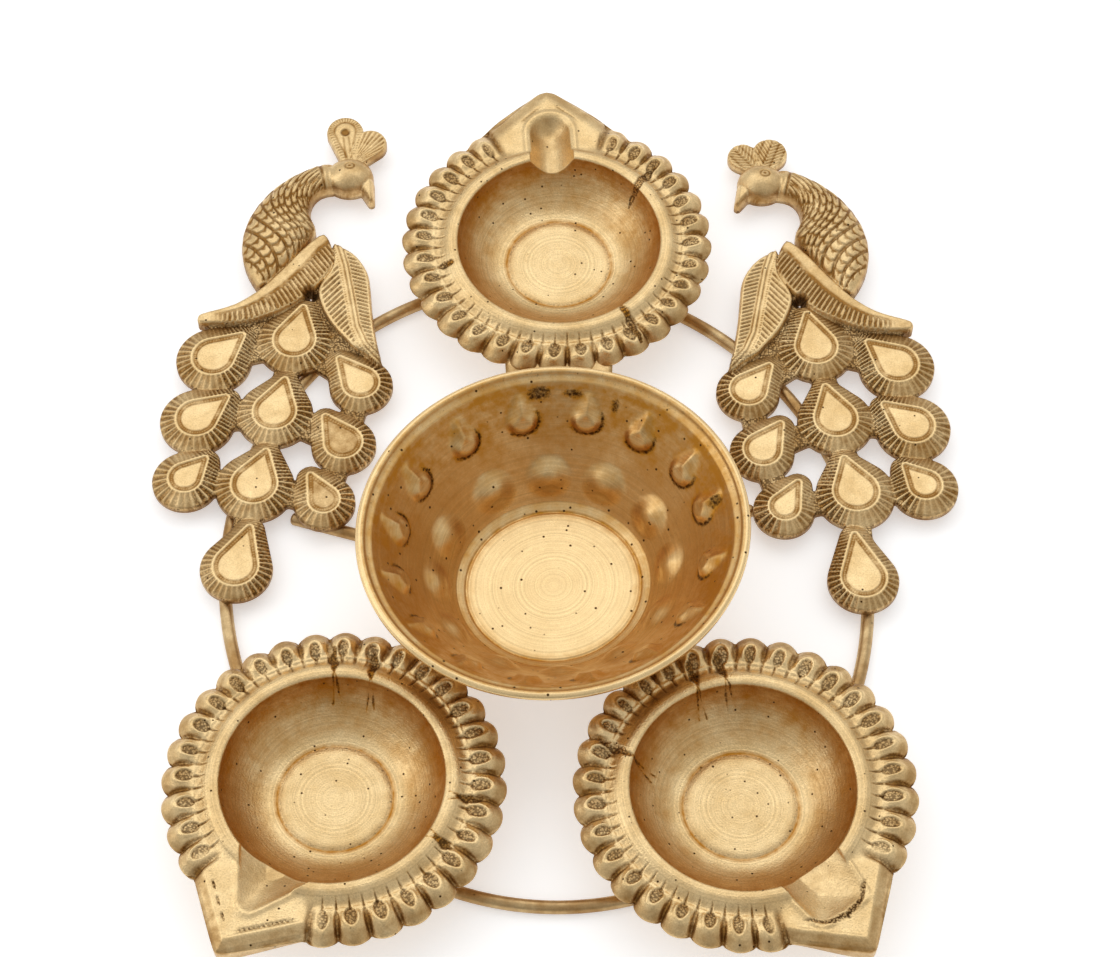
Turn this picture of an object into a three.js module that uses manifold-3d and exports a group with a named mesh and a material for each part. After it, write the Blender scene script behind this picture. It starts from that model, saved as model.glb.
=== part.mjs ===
// Brass table urli: a floating-flower bowl with three oil lamps and two peacocks on a rod ring.
// Millimetres, +Z up, +Y towards the back lamp. The origin is the middle of the bowl's underside.

import * as THREE from 'three';
import { mergeVertices } from 'three/addons/utils/BufferGeometryUtils.js';
import Module from 'manifold-3d';

// Every brazed seat and contact keeps this gap
const seatGap = 0.3;

// Round brass rod of the base ring and the two struts
const rodDiameter = 4;

// Bowl: a turned casting that stands on the table
const bowlHeight = 38.2;
const bowlFootRadius = 29;
const bowlRimRadius = 57.75;
const bowlWall = 3.4;
const bowlRimWidth = 3.4;
const bowlRimDepth = 3.4;
const bowlRimStep = 0.6;
const bowlFloorRadius = 26.4;
const bowlFloorThickness = 2.5;
const bowlBulge = 0.9;
const bowlOvalness = 1.021;
const bowlTurn = 26.4;

// Lamp: one pattern, cast three times
const lampFootRadius = 18;
const cupFloorRadius = 16.9;
const cupFloorThickness = 2.2;
const cupLipRadius = 32.4;
const cupWall = 2.6;
const lampHeight = 16.6;
const cupLipDrop = 0.8;
const rimBandWidth = 4.4;
const rimBandDrop = 1.7;
const petalRadius = 49.7;
const petalDrop = 2.4;
const petalNotch = 2.6;
const petalFurrow = 1;
const petalThickness = 2.2;
const petalCrown = 0.9;
const petalCrownInset = 4.6;
const petalUndercut = 0.3;
const petalPitches = 32;
const spoutReach = 61.3;
const spoutSlope = 47.6;
const spoutPitches = 4;
const spoutRise = 0.7;
const spoutKeel = 4;
const petalShift = [0.5, 0.7];

// Wick channel in the spout: a round-ended trough on the back lamp, a cone's scoop on the others
const troughRadius = 7.8;
const troughEnd = 51.5;
const scoopRadius = 10.6;
const scoopEndRadius = 6.3;
const scoopEnd = 48;
const channelDepth = 6;

// Plain lug of the back lamp, brazed to the bowl's wall
const lugWidth = 34;
const lugEndWidth = 30;
const lugThickness = 3;
const lugTop = 12.3;
const lugBevel = 1;
const lugOverlap = 6;

// Places of the lamps round the bowl: the angle, the gap from petals to bowl wall, how far
// outside the lamp's centre the ring passes, and the direction of the spout
const lampPlaces = [
  { name: 'diya_back', angle: 89.2, wallGap: 24, ringOutset: -4.7, spoutAngle: 94, round: true },
  { name: 'diya_left', angle: 229.15, wallGap: 2.4, ringOutset: 4.25, spoutAngle: 240, round: false },
  { name: 'diya_right', angle: 305.7, wallGap: 0.3, ringOutset: 9.2, spoutAngle: 305.5, round: false },
];

// Base ring: bent by hand to an oval
const ringOvalness = 1.121;
const ringTurn = 9.5;

// Peacock plan, as [away from the bowl, towards the back], from the pin hole under the wings
const pinHoleRadius = 2.3;
const pinHole = [0, 1.5];
const birdEdge = 2.4;
const birdEdgeBevel = 0.3;
const featherHeight = 4.4;
const featherSkirt = 5.2;
const featherTipRadius = 4.6;
const featherPointRadius = 0.4;
const featherWebWidth = 10;
const feathers = [
  { tip: [1.9, -4.3], lean: 101, width: 13.4, length: 18.9 },
  { tip: [21, -15], lean: 137, width: 13.6, length: 18.5 },
  { tip: [-12.4, -24], lean: 52, width: 11.7, length: 17, skirt: 4.2 },
  { tip: [24.7, -38.5], lean: 139, width: 13.1, length: 18 },
  { tip: [6.5, -32], lean: 103, width: 13.5, length: 18.5 },
  { tip: [-8.3, -45.8], lean: 57, width: 11.9, length: 16.8, skirt: 4.2 },
  { tip: [29.9, -61.2], lean: 130, width: 10.5, length: 14 },
  { tip: [11, -58.6], lean: 105, width: 14.2, length: 19 },
  { tip: [-4.2, -67.3], lean: 62, width: 9.7, length: 14.4, skirt: 4.7 },
];
const featherWebs = [
  [0, 1], [0, 2], [0, 4], [1, 3], [2, 5], [3, 4], [3, 6],
  [4, 5], [4, 7], [5, 8], [6, 7], [7, 8], [7, 9],
];
const wingHeight = 5;
const wingBevel = 1;
const longWing = [
  [-6, 22], [-2.4, 26.2], [14.5, 4], [22.1, -2.1], [26.8, -4.3], [32.7, -6.1],
  [35.4, -7.2], [35.7, -9], [34.6, -10.8], [26.4, -10.5], [19.3, -9.7], [14.6, -7.9],
  [8.7, -5.2], [4, -2.4], [0, 1.9], [-3.4, 5.5], [-7.5, 12.5],
];
const foldedWing = [
  [-6, 21.8], [-10.3, 19.1], [-14, 16.5], [-17.2, 12], [-18.9, 7.5], [-19.5, 1.6],
  [-20.2, -5.7], [-21.4, -13.7], [-22.5, -19.5], [-24, -25.2], [-22.8, -26.8], [-18.6, -22],
  [-14.4, -19.5], [-12.2, -16.6], [-8.5, -12.3], [-5.3, -7.2], [-2.2, 1], [-3.4, 5.5], [-7.5, 12.5],
];
const breastGround = [[-19, -22], [-15, 12], [14, 3], [30, -9], [30, -22], [4, -22], [-14, -34]];
const neckHeight = 8.4;
const neckStations = [
  { back: [-5.5, 55], throat: [-6.5, 43.2], rise: 0.8 },
  { back: [0.3, 52.4], throat: [-2.4, 42.4], rise: 0.85 },
  { back: [5.2, 50], throat: [0, 40.4], rise: 0.88 },
  { back: [10, 46.6], throat: [1.3, 37.6], rise: 0.92 },
  { back: [14.7, 42.3], throat: [1.6, 34.6], rise: 0.96 },
  { back: [18.7, 36.8], throat: [1, 31.6], rise: 1 },
  { back: [21.5, 31.2], throat: [-0.4, 28.8], rise: 1 },
  { back: [23, 25], throat: [-0.8, 25.6], rise: 1 },
  { back: [23.2, 19.5], throat: [1.8, 21], rise: 0.94 },
  { back: [22.1, 13.5], throat: [6, 15], rise: 0.85 },
  { back: [20, 8.3], throat: [10.2, 9.2], rise: 0.74 },
  { back: [17, 3.4], throat: [13.4, 5.6], rise: 0.6 },
];
const headCentre = [-10.9, 48.5];
const headLength = 15.8;
const headWidth = 13.8;
const headHeight = 8.2;
const beakTip = [-19.3, 38.3];
const beakRadius = 2.9;
const beakTipRadius = 0.8;
const beakHeight = 5.1;
const crestRoot = [-10.8, 53];
const crestRootWidth = 3.8;
const crestHeight = 3.6;

// Places of the birds: the angle round the bowl, how far the bird's zero point lies outside the
// ring, which way it faces, its crest's lobes, its last feather, and its strut's end
const birdPlaces = [
  {
    name: 'peacock_left', strut: 'strut_left', side: -1, angle: 127.3, ringOutset: 18.5,
    crest: [{ centre: [-8.7, 67.6], radius: 6.1 }, { centre: [-17.2, 62.8], radius: 5.5 }],
    lastFeather: { tip: [14.6, -86], lean: 105, width: 13.8, length: 20.6, skirt: 4.2 },
    strutEnd: [2.8, -78.8],
  },
  {
    name: 'peacock_right', strut: 'strut_right', side: 1, angle: 51.7, ringOutset: 24.4,
    crest: [{ centre: [-7.6, 61.4], radius: 5.8 }, { centre: [-16.4, 59.9], radius: 5.2 }],
    lastFeather: { tip: [12.8, -86], lean: 98, width: 13.8, length: 21.6, skirt: 4 },
    strutEnd: [-17, -73],
  },
];

// Facets
const bowlSegments = 48;
const petalSegments = 3;
const cupSegments = 48;
const ringSegments = 64;
const rodSides = 8;
const outlineSteps = 14;
const neckSides = 7;
const pinHoleSides = 12;
const channelSegments = 16;

// Finishes
const castBrass = new THREE.MeshStandardMaterial({ color: 0xb58a49, roughness: 0.45, metalness: 1 });
const turnedBrass = new THREE.MeshStandardMaterial({ color: 0xc39a57, roughness: 0.35, metalness: 1 });
const drawnBrass = new THREE.MeshStandardMaterial({ color: 0xa98251, roughness: 0.4, metalness: 1 });

const wasm = await Module();
wasm.setup();

const rodRadius = rodDiameter / 2;
const seatHeight = rodDiameter + seatGap;
const radians = THREE.MathUtils.degToRad;

function toward(angle, distance) {
  return [distance * Math.cos(radians(angle)), distance * Math.sin(radians(angle))];
}

// A closed geometry becomes a solid once its doubled points are merged and its faces point out
function solidOf(geometry) {
  const bare = new THREE.BufferGeometry();
  bare.setAttribute('position', geometry.getAttribute('position'));
  bare.setIndex(geometry.getIndex());
  const merged = mergeVertices(bare, 1e-3);
  const points = merged.getAttribute('position').array;
  const index = merged.getIndex().array;
  const faces = [];
  let volume = 0;
  const [a, b, c] = [new THREE.Vector3(), new THREE.Vector3(), new THREE.Vector3()];
  for (let i = 0; i < index.length; i += 3) {
    const [p, q, r] = [index[i], index[i + 1], index[i + 2]];
    if (p === q || q === r || r === p) continue;
    faces.push([p, q, r]);
    a.fromArray(points, 3 * p);
    b.fromArray(points, 3 * q);
    c.fromArray(points, 3 * r);
    volume += a.dot(b.cross(c));
  }
  if (volume < 0) faces.forEach((face) => face.reverse());
  return new wasm.Manifold(new wasm.Mesh({
    numProp: 3,
    vertProperties: Float32Array.from(points),
    triVerts: Uint32Array.from(faces.flat()),
  }));
}

function meshOf(name, solid, material) {
  const { vertProperties, triVerts } = solid.getMesh();
  const geometry = new THREE.BufferGeometry();
  geometry.setAttribute('position', new THREE.BufferAttribute(vertProperties, 3));
  geometry.setIndex(new THREE.BufferAttribute(triVerts, 1));
  geometry.computeVertexNormals();
  const mesh = new THREE.Mesh(geometry, material);
  mesh.name = name;
  return mesh;
}

function unite(solids) {
  return solids.reduce((sum, solid) => sum.add(solid));
}

// Turns a profile of [radius, height] about +Z
function turned(profile, segments) {
  const points = profile.map(([radius, height]) => new THREE.Vector2(radius, height));
  return new THREE.LatheGeometry(points, segments).rotateX(Math.PI / 2);
}

// Joins rings of [x, y, z] points; each ring has as many points as the next, or a multiple
function skin(rings) {
  const index = [];
  let start = 0;
  for (let level = 0; level + 1 < rings.length; level += 1) {
    const [near, far] = [rings[level].length, rings[level + 1].length];
    const steps = Math.max(near, far);
    const pick = (count, i) => Math.floor((i * count) / steps) % count;
    for (let i = 0; i < steps; i += 1) {
      const [a, b] = [start + pick(near, i), start + pick(near, i + 1)];
      const [c, d] = [start + near + pick(far, i), start + near + pick(far, i + 1)];
      index.push(a, b, d, a, d, c);
    }
    start += near;
  }
  const geometry = new THREE.BufferGeometry();
  geometry.setAttribute('position', new THREE.Float32BufferAttribute(rings.flat(2), 3));
  geometry.setIndex(index);
  return geometry;
}

// Joins outlines with equal counts of [x, y, z] points into one skin, closed flat at both ends
function stacked(levels) {
  const flat = levels[0].map(([x, y]) => new THREE.Vector2(x, y));
  const clockwise = THREE.ShapeUtils.isClockWise(flat);
  const outlines = clockwise ? levels.map((level) => level.toReversed()) : levels;
  const count = flat.length;
  const index = [];
  for (let level = 0; level + 1 < outlines.length; level += 1) {
    for (let i = 0; i < count; i += 1) {
      const [p, q] = [level * count + i, level * count + ((i + 1) % count)];
      index.push(p, q, q + count, p, q + count, p + count);
    }
  }
  const shape = clockwise ? flat.toReversed() : flat;
  const top = (outlines.length - 1) * count;
  for (const [p, q, r] of THREE.ShapeUtils.triangulateShape(shape, [])) {
    index.push(p, r, q, top + p, top + q, top + r);
  }
  const geometry = new THREE.BufferGeometry();
  geometry.setAttribute('position', new THREE.Float32BufferAttribute(outlines.flat(2), 3));
  geometry.setIndex(index);
  return geometry;
}

// Bowl

function bowlRadiusAt(height) {
  const share = Math.min(Math.max(height / bowlHeight, 0), 1);
  return bowlFootRadius + (bowlRimRadius - bowlFootRadius) * share ** bowlBulge;
}

function bowlOutside(gap) {
  const rimBottom = bowlHeight - bowlRimDepth;
  const heights = [0.12, 0.4, 0.7, 1].map((share) => share * rimBottom);
  return [
    [0, -gap], [bowlFootRadius + gap, -gap],
    ...heights.map((height) => [bowlRadiusAt(height) + gap - bowlRimStep * (height === rimBottom), height]),
    [bowlRimRadius + gap, bowlHeight - 0.7 * bowlRimDepth],
    [bowlRimRadius + gap, bowlHeight - 0.12 * bowlRimDepth],
  ];
}

// The casting came out slightly oval
function bowlSolid(profile) {
  return solidOf(turned(profile, bowlSegments)
    .scale(bowlOvalness, 1 / bowlOvalness, 1)
    .rotateZ(radians(bowlTurn)));
}

function bowlOval(angle) {
  const [x, y] = toward(angle - bowlTurn, 1);
  return 1 / Math.hypot(x / bowlOvalness, y * bowlOvalness);
}

function bowl() {
  const inner = bowlRimRadius - bowlRimWidth;
  const heights = [0.8, 0.55, 0.3, 0.13].map((share) => share * bowlHeight);
  const profile = [
    ...bowlOutside(0),
    [bowlRimRadius - 0.25 * bowlRimWidth, bowlHeight],
    [inner + 0.25 * bowlRimWidth, bowlHeight],
    [inner, bowlHeight - 0.2 * bowlRimDepth],
    ...heights.map((height) => [bowlRadiusAt(height) - bowlWall, height]),
    [bowlFloorRadius, bowlFloorThickness], [0, bowlFloorThickness],
  ];
  return bowlSolid(profile);
}

// The bowl's outside, a seat gap larger, trims whatever is brazed to it
function bowlTrimmer() {
  return bowlSolid([...bowlOutside(seatGap), [0, bowlHeight]]);
}

// Lamps

const spoutHalfAngle = (spoutPitches / 2) * (360 / petalPitches);

function spoutShare(angle) {
  const share = Math.max(0, 1 - Math.abs(angle) / spoutHalfAngle);
  return share * share * (3 - 2 * share);
}

// How far through its petal an angle lies: 0 in the notches, 1 on the petal's middle line
function petalShare(angle) {
  const phase = (Math.abs(angle) * petalPitches) / 360;
  return Math.abs(angle) < spoutHalfAngle ? 0.5 : Math.sqrt(Math.abs(Math.sin(Math.PI * phase)));
}

function flangeReach(angle) {
  const away = Math.abs(angle);
  const scallops = petalRadius - petalNotch * (1 - petalShare(angle));
  if (away > 2 * spoutHalfAngle) return scallops;
  const side = Math.sin(radians(spoutSlope)) / Math.sin(radians(spoutSlope + away));
  return Math.max(scallops, spoutReach * side);
}

// Profile from the cup's middle over the rim and under the flange to the foot. reach, rise and
// keel are the shares of the spout's length, height and depth that a point takes, furrow that of
// the grooves between petals; fine rings follow the petals, which sit a little off the cup's middle
function lampProfile() {
  const crest = cupLipRadius + rimBandWidth / 2;
  const band = cupLipRadius + rimBandWidth;
  const slope = cupLipRadius - cupFloorRadius;
  const cupHeight = lampHeight - cupLipDrop - cupFloorThickness;
  const edge = lampHeight - petalDrop;
  const under = edge - petalThickness;
  const crownShares = { reach: 0.7, rise: 0.6, furrow: 1 };
  return [
    { radius: 0, height: cupFloorThickness },
    { radius: cupFloorRadius, height: cupFloorThickness },
    { radius: cupLipRadius - 0.5 * slope, height: cupFloorThickness + 0.22 * cupHeight },
    { radius: cupLipRadius - 0.14 * slope, height: cupFloorThickness + 0.6 * cupHeight },
    { radius: cupLipRadius, height: lampHeight - cupLipDrop },
    { radius: crest, height: lampHeight, fine: true },
    { radius: band, height: lampHeight - rimBandDrop, reach: 0.1, fine: true },
    { radius: petalRadius - petalCrownInset, height: edge + petalCrown, ...crownShares, fine: true },
    { radius: petalRadius, height: edge, reach: 1, rise: 1, furrow: 0.3, fine: true },
    { radius: petalRadius - petalUndercut, height: under, reach: 1, rise: 1, keel: 1, fine: true },
    { radius: cupLipRadius + cupWall, height: under - petalUndercut, keel: 1 },
    { radius: cupLipRadius - 0.5 * slope + 1.5 * cupWall, height: 0.36 * under, keel: 0.2 },
    { radius: lampFootRadius, height: 0 },
    { radius: 0, height: 0 },
  ];
}

function channelCutter(place) {
  const start = 0.6 * cupLipRadius;
  const profile = place.round
    ? [[0, start], [troughRadius, start], [troughRadius, troughEnd - troughRadius],
      [0.87 * troughRadius, troughEnd - 0.5 * troughRadius],
      [0.5 * troughRadius, troughEnd - 0.13 * troughRadius], [0, troughEnd]]
    : [[0, start], [scoopRadius, start], [scoopRadius, cupLipRadius - 1.4],
      [scoopEndRadius, scoopEnd], [0, scoopEnd]];
  const axisHeight = lampHeight - channelDepth + (place.round ? troughRadius : scoopRadius);
  const points = profile.map(([radius, along]) => new THREE.Vector2(radius, along));
  return solidOf(new THREE.LatheGeometry(points, channelSegments)
    .rotateZ(-Math.PI / 2)
    .translate(0, 0, axisHeight));
}

function lugSolid(distance) {
  const near = petalRadius - lugOverlap;
  const level = (height, inset) => [
    [near, -lugWidth / 2 + inset, height], [distance, -lugEndWidth / 2 + inset, height],
    [distance, lugEndWidth / 2 - inset, height], [near, lugWidth / 2 - inset, height],
  ];
  return solidOf(stacked([
    level(lugTop - lugThickness, 0), level(lugTop - lugBevel, 0), level(lugTop, lugBevel),
  ]));
}

function lampDistance(place) {
  const wall = bowlRadiusAt(seatHeight + lampHeight - petalDrop) * bowlOval(place.angle);
  return wall + place.wallGap + petalRadius;
}

function lampSkin() {
  return skin(lampProfile().map((row) => {
    const { radius, height, reach = 0, rise = 0, furrow = 0, keel = 0 } = row;
    const columns = row.fine ? petalPitches * petalSegments : cupSegments;
    return Array.from({ length: radius > 0 ? columns : 1 }, (_, i) => {
      const turn = (360 * i) / columns;
      const angle = turn > 180 ? turn - 360 : turn;
      const share = spoutShare(angle);
      const [x, y] = toward(turn, radius + reach * (flangeReach(angle) - petalRadius));
      const shift = reach * (1 - share);
      const grooves = furrow * petalFurrow * (1 - petalShare(angle));
      return [
        x + shift * petalShift[0], y + shift * petalShift[1],
        height + rise * spoutRise * share - keel * spoutKeel * share - grooves,
      ];
    });
  }));
}

function lamp(place, trimmer) {
  const distance = lampDistance(place);
  const [x, y] = toward(place.angle, distance);
  const set = (solid, turn) => solid.rotate([0, 0, turn]).translate([x, y, seatHeight]);
  let solid = set(solidOf(lampSkin()).subtract(channelCutter(place)), place.spoutAngle);
  if (place.round) solid = solid.add(set(lugSolid(distance), place.angle + 180));
  return solid.subtract(trimmer);
}

// Base ring: the oval, of a set shape and turn, that passes under all three lamps' feet

function ringOval() {
  const turn = radians(ringTurn);
  const seats = lampPlaces.map((place) => {
    const [x, y] = toward(place.angle, lampDistance(place) + place.ringOutset);
    return new THREE.Vector2(
      x * Math.cos(turn) + y * Math.sin(turn),
      (y * Math.cos(turn) - x * Math.sin(turn)) / ringOvalness,
    );
  });
  const [a, b, c] = seats;
  const doubleArea = 2 * (a.x * (b.y - c.y) + b.x * (c.y - a.y) + c.x * (a.y - b.y));
  const [aa, bb, cc] = seats.map((seat) => seat.lengthSq());
  const centre = new THREE.Vector2(
    (aa * (b.y - c.y) + bb * (c.y - a.y) + cc * (a.y - b.y)) / doubleArea,
    (aa * (c.x - b.x) + bb * (a.x - c.x) + cc * (b.x - a.x)) / doubleArea,
  );
  return { centre, radius: centre.distanceTo(a), turn };
}

const oval = ringOval();

// A point beside the ring's centre line, outset millimetres outside it
function besideRing(share, outset) {
  const [c, s] = [Math.cos(share), Math.sin(share)];
  const slope = Math.hypot(c * ringOvalness, s);
  const x = oval.centre.x + oval.radius * c + (outset * c * ringOvalness) / slope;
  const y = (oval.centre.y + oval.radius * s) * ringOvalness + (outset * s) / slope;
  return [
    x * Math.cos(oval.turn) - y * Math.sin(oval.turn),
    x * Math.sin(oval.turn) + y * Math.cos(oval.turn),
  ];
}

function baseRing() {
  const geometry = new THREE.TorusGeometry(oval.radius, rodRadius, rodSides, ringSegments);
  const position = geometry.getAttribute('position');
  for (let k = 0; k < position.count; k += 1) {
    const [x, y] = [position.getX(k), position.getY(k)];
    const outset = Math.hypot(x, y) - oval.radius;
    const [ringX, ringY] = besideRing(Math.atan2(y, x), outset);
    position.setXYZ(k, ringX, ringY, position.getZ(k) + rodRadius);
  }
  return solidOf(geometry);
}

// The ring's distance from the bowl's axis in a direction, by halving the oval's arc
function ringDistance(angle) {
  const [x, y] = toward(angle, 1);
  const u = x * Math.cos(oval.turn) + y * Math.sin(oval.turn);
  const v = (y * Math.cos(oval.turn) - x * Math.sin(oval.turn)) / ringOvalness;
  const along = u * oval.centre.x + v * oval.centre.y;
  const squared = u * u + v * v;
  const rest = oval.centre.lengthSq() - oval.radius ** 2;
  return (along + Math.sqrt(along * along - squared * rest)) / squared;
}

// Peacocks

function birdOrigin(place) {
  return toward(place.angle, ringDistance(place.angle) + place.ringOutset);
}

function featherRound(feather) {
  const [x, y] = toward(feather.lean, feather.length - feather.width / 2);
  return [feather.tip[0] - x, feather.tip[1] - y];
}

// Outline of two circles and their tangents, as equal counts of points round each
function taperedOutline(big, bigRadius, small, smallRadius, height) {
  const [dx, dy] = [small[0] - big[0], small[1] - big[1]];
  const heading = Math.atan2(dy, dx);
  const tangent = Math.acos((bigRadius - smallRadius) / Math.hypot(dx, dy));
  const bigSteps = Math.round(outlineSteps * 0.7);
  const smallSteps = outlineSteps - bigSteps;
  const points = [];
  for (let i = 0; i < bigSteps; i += 1) {
    const turn = heading + tangent + (2 * (Math.PI - tangent) * i) / (bigSteps - 1);
    points.push([big[0] + bigRadius * Math.cos(turn), big[1] + bigRadius * Math.sin(turn), height]);
  }
  for (let i = 0; i < smallSteps; i += 1) {
    const turn = heading - tangent + (2 * tangent * i) / (smallSteps - 1);
    points.push([small[0] + smallRadius * Math.cos(turn), small[1] + smallRadius * Math.sin(turn), height]);
  }
  return points;
}

function featherSolid(feather) {
  const round = featherRound(feather);
  const eyeRadius = feather.width / 2;
  const lobeRadius = eyeRadius + (feather.skirt ?? featherSkirt);
  const lobe = (height) => taperedOutline(round, lobeRadius, feather.tip, featherTipRadius, height);
  const eye = taperedOutline(round, eyeRadius, feather.tip, featherPointRadius, featherHeight);
  return solidOf(stacked([lobe(0), lobe(birdEdge), eye]));
}

function webSolid(first, second) {
  const [a, b] = [featherRound(first), featherRound(second)];
  const length = Math.hypot(b[0] - a[0], b[1] - a[1]);
  const web = new THREE.BoxGeometry(length, featherWebWidth, birdEdge);
  web.rotateZ(Math.atan2(b[1] - a[1], b[0] - a[0]));
  return solidOf(web.translate((a[0] + b[0]) / 2, (a[1] + b[1]) / 2, birdEdge / 2));
}

// Moves each point of an outline inwards, square to its neighbours' line
function insetOutline(outline, inset) {
  const area = THREE.ShapeUtils.area(outline.map(([x, y]) => new THREE.Vector2(x, y)));
  const distance = inset * Math.sign(area);
  return outline.map(([x, y], i) => {
    const before = outline[(i + outline.length - 1) % outline.length];
    const after = outline[(i + 1) % outline.length];
    const [dx, dy] = [after[0] - before[0], after[1] - before[1]];
    const length = Math.hypot(dx, dy);
    return [x - (dy / length) * distance, y + (dx / length) * distance];
  });
}

function plateSolid(outline, height, bevel) {
  const level = (points, z) => points.map(([x, y]) => [x, y, z]);
  return solidOf(stacked([
    level(outline, 0), level(outline, height - bevel), level(insetOutline(outline, bevel), height),
  ]));
}

// Neck and body: half-round ribs from throat to back, one for each station
function neckSolid() {
  const rib = ({ back, throat, rise }) => Array.from({ length: neckSides + 1 }, (_, i) => {
    const share = (1 - Math.cos((Math.PI * i) / neckSides)) / 2;
    const dome = Math.sin((Math.PI * i) / neckSides) * (neckHeight * rise - birdEdge);
    return [
      THREE.MathUtils.lerp(throat[0], back[0], share),
      THREE.MathUtils.lerp(throat[1], back[1], share),
      birdEdge + dome,
    ];
  });
  const ribs = neckStations.map((station) => {
    const arch = rib(station);
    const [first, last] = [arch[0], arch[neckSides]];
    return [...arch, [last[0], last[1], 0], [first[0], first[1], 0]];
  });
  const count = ribs[0].length;
  const index = [];
  for (let level = 0; level + 1 < ribs.length; level += 1) {
    for (let i = 0; i < count; i += 1) {
      const [p, q] = [level * count + i, level * count + ((i + 1) % count)];
      index.push(p, q, q + count, p, q + count, p + count);
    }
  }
  const last = (ribs.length - 1) * count;
  for (let i = 1; i + 1 < count; i += 1) index.push(0, i + 1, i, last, last + i, last + i + 1);
  const geometry = new THREE.BufferGeometry();
  geometry.setAttribute('position', new THREE.Float32BufferAttribute(ribs.flat(2), 3));
  geometry.setIndex(index);
  return solidOf(geometry);
}

function headSolid() {
  const oval = (share, height) => Array.from({ length: outlineSteps }, (_, i) => {
    const turn = (2 * Math.PI * i) / outlineSteps;
    return [
      headCentre[0] + (headLength / 2) * share * Math.cos(turn),
      headCentre[1] + (headWidth / 2) * share * Math.sin(turn),
      height,
    ];
  });
  const dome = headHeight - birdEdge;
  return solidOf(stacked([
    oval(1, 0), oval(1, birdEdge), oval(0.87, birdEdge + 0.5 * dome),
    oval(0.5, birdEdge + 0.87 * dome), oval(0.12, headHeight),
  ]));
}

function beakSolid() {
  const root = [headCentre[0] - 0.36 * headLength, headCentre[1] - 0.22 * headWidth];
  const base = (height) => taperedOutline(root, beakRadius, beakTip, beakTipRadius, height);
  const ridge = taperedOutline(root, 0.6 * beakRadius, beakTip, 0.5 * beakTipRadius, beakHeight);
  return solidOf(stacked([base(0), base(birdEdge), ridge]));
}

function crestSolid({ centre, radius }) {
  const outline = (height, inset) => (
    taperedOutline(centre, radius - inset, crestRoot, crestRootWidth / 2 - inset, height)
  );
  return solidOf(stacked([
    outline(0, 0), outline(crestHeight - wingBevel, 0), outline(crestHeight, 0.8 * wingBevel),
  ]));
}

function peacock(place) {
  const hole = new THREE.CylinderGeometry(
    pinHoleRadius, pinHoleRadius, 4 * wingHeight, pinHoleSides,
  )
    .rotateX(Math.PI / 2)
    .translate(...pinHole, 0);
  const train = [...feathers, place.lastFeather];
  const bird = unite([
    plateSolid(breastGround, birdEdge, birdEdgeBevel),
    ...featherWebs.map(([first, second]) => webSolid(train[first], train[second])),
    ...train.map(featherSolid),
    plateSolid(foldedWing, wingHeight, wingBevel),
    plateSolid(longWing, wingHeight, wingBevel),
    neckSolid(), headSolid(), beakSolid(),
    ...place.crest.map(crestSolid),
  ]).subtract(solidOf(hole));
  const facing = place.side < 0 ? bird.mirror([1, 0, 0]) : bird;
  const [x, y] = birdOrigin(place);
  return facing.translate([x, y, seatHeight]);
}

// Struts: rods from the bowl's foot to a rounded end under each bird's tail

function strut(place, trimmer) {
  const [originX, originY] = birdOrigin(place);
  const endX = originX + place.side * place.strutEnd[0];
  const endY = originY + place.strutEnd[1];
  const length = Math.hypot(endX, endY);
  const profile = [
    [0, bowlFootRadius - 1], [rodRadius, bowlFootRadius - 1], [rodRadius, length - 0.6 * rodRadius],
    [0.7 * rodRadius, length - 0.15 * rodRadius], [0, length],
  ];
  const rod = new THREE.LatheGeometry(
    profile.map(([radius, along]) => new THREE.Vector2(radius, along)), rodSides,
  );
  rod.rotateZ(Math.atan2(endY, endX) - Math.PI / 2).translate(0, 0, rodRadius);
  return solidOf(rod).subtract(trimmer);
}

const trimmer = bowlTrimmer();
const urli = new THREE.Group();
urli.add(meshOf('base_ring', baseRing(), drawnBrass));
urli.add(meshOf('urli_bowl', bowl(), turnedBrass));
for (const place of lampPlaces) urli.add(meshOf(place.name, lamp(place, trimmer), castBrass));
for (const place of birdPlaces) {
  urli.add(meshOf(place.name, peacock(place), castBrass));
  urli.add(meshOf(place.strut, strut(place, trimmer), drawnBrass));
}

export default urli;
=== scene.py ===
import math
import random

import bmesh
import bpy
import numpy as np
from mathutils import Matrix, Vector


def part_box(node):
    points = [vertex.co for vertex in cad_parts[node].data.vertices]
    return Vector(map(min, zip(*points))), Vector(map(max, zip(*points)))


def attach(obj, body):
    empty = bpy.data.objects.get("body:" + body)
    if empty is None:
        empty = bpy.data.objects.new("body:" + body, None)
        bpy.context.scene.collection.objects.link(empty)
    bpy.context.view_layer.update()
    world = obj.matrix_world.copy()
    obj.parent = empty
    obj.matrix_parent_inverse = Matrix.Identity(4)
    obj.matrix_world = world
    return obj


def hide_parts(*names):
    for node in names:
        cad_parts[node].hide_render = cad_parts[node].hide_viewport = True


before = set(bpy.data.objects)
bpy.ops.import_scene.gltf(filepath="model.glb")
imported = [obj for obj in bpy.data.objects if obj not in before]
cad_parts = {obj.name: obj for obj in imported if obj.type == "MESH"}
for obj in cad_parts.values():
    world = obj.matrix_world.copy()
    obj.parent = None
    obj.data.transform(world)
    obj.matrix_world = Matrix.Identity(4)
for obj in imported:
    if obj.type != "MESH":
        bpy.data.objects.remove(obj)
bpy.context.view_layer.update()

# Base ring: 4 mm drawn brass rod, bent by hand to an oval and brazed closed. The lamps and the
# peacocks are brazed on top of it. It was never polished, so it is browner than the castings.

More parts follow.
